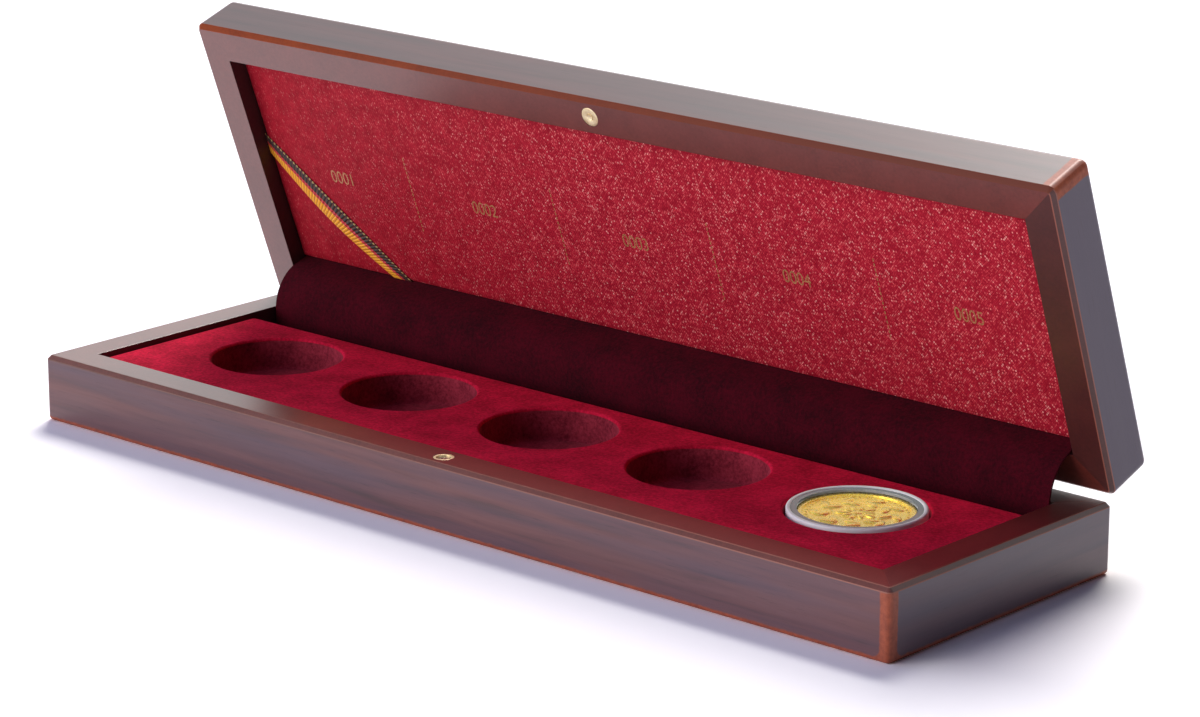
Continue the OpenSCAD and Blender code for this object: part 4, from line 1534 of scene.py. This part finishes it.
coin = turned_blank("coin_struck", coin_low, coin_high, 160)
coin_centre = (coin_low + coin_high) / 2
field_z = coin_high.z - COIN_RIM_H
coin.data.materials.append(gold_field)
coin.data.materials.append(gold_relief)
edit(coin)
push_face(coin, coin_high.z, COIN_RIM_W, -COIN_RIM_H)
soften(coin, is_sharp, COIN_ARRIS, 3)
paint(coin, 1, lambda f: not (f.normal.z > 0.99 and lies_at(f, 2, field_z)))
done()
print("coin in mm:", in_mm(coin_high - coin_low))

# %% Coin relief
RELIEF_H = 0.46 * MM
BEADS = 40
BEAD_W = 1.0 * MM
BEAD_H = 0.2 * MM
BEAD_RING = 12.0 * MM
LEAVES = 9
LEAF_SIZE = (5.4 * MM, 2.3 * MM, RELIEF_H)
LEAF_ROWS = ((0.6, 9.6 * MM), (-0.6, 7.2 * MM))
RAYS = 10
RAY_W = 1.6 * MM
RAY_LENGTHS = (4.2 * MM, 3.0 * MM)
RAY_START = 1.2 * MM
STAR_W = 3.4 * MM
DOME_FOOT = -0.2


bpy.ops.object.select_all(action="DESELECT")
bpy.ops.mesh.primitive_ico_sphere_add(subdivisions=2, radius=1)
plain_dome = bpy.context.object
edit(plain_dome)
bpy.ops.mesh.select_all(action="SELECT")
bpy.ops.mesh.bisect(plane_co=(0, 0, DOME_FOOT), plane_no=(0, 0, 1), use_fill=True, clear_inner=True)
done()
plain_dome.data.materials.append(gold_field)
plain_dome.data.materials.append(gold_relief)
for face in plain_dome.data.polygons:
    face.material_index = 1


def dome(size, radius, angle, lean=0):
    """A copy of the dome with that length, width and height, pointing outwards but for its lean."""
    bump = own_copy(plain_dome, "coin_bump")
    select_only(bump)
    bump.scale = (size[0] / 2, size[1] / 2, size[2])
    bump.rotation_euler = (0, 0, angle + lean)
    x, y = radius * math.cos(angle), radius * math.sin(angle)
    bump.location = (coin_centre.x + x, coin_centre.y + y, field_z)
    bpy.ops.object.transform_apply()
    return bump


bumps = []
for i in range(BEADS):
    bumps.append(dome((BEAD_W, BEAD_W, BEAD_H), BEAD_RING, 2 * math.pi * i / BEADS))
for i in range(LEAVES):
    for lean, radius in LEAF_ROWS:
        bumps.append(dome(LEAF_SIZE, radius, 2 * math.pi * (i + 0.5) / LEAVES, QUARTER + lean))
for i in range(RAYS):
    length = RAY_LENGTHS[i % 2]
    bumps.append(dome((length, RAY_W, RELIEF_H), RAY_START + length / 2, 2 * math.pi * i / RAYS))
bumps.append(dome((STAR_W, STAR_W, RELIEF_H), 0, 0))
bpy.data.objects.remove(plain_dome)
coin = join("coin_struck", [coin] + bumps)
smooth(coin, 40)
finish_piece(coin, "capsule", "gold", "coin")
print("coin faces:", len(coin.data.polygons))

# %% [markdown]
# Left alone, the coin mirrors the red lining behind it and looks like copper. Whoever photographs a coin
# holds a white card where its face mirrors it. This lamp is such a card: light linking gives it to the
# coin and the capsule's upper half alone.

# %% Coin card
CARD_TOWARDS = Vector((-0.64, 0.72, 0.42)).normalized()
CARD_AWAY = 26 * MM
CARD_W = 60 * MM
CARD_H = 30 * MM
CARD_POWER = 0.0036

bpy.ops.object.light_add(type="AREA")
coin_card = bpy.context.object
coin_card.name = "coin_card_light"
coin_card.data.shape = "RECTANGLE"
coin_card.data.size = CARD_W
coin_card.data.size_y = CARD_H
coin_card.data.energy = CARD_POWER
coin_card.data.color = linear("#eefff4")[:3]
coin_card.rotation_euler = CARD_TOWARDS.to_track_quat("Z", "Y").to_euler()
coin_card.location = coin_centre + CARD_TOWARDS * CARD_AWAY
coin_card.visible_camera = False
card_lit = bpy.data.collections.new("lit_by_the_card")
for piece in (coin, upper):
    card_lit.objects.link(piece)
coin_card.light_linking.receiver_collection = card_lit
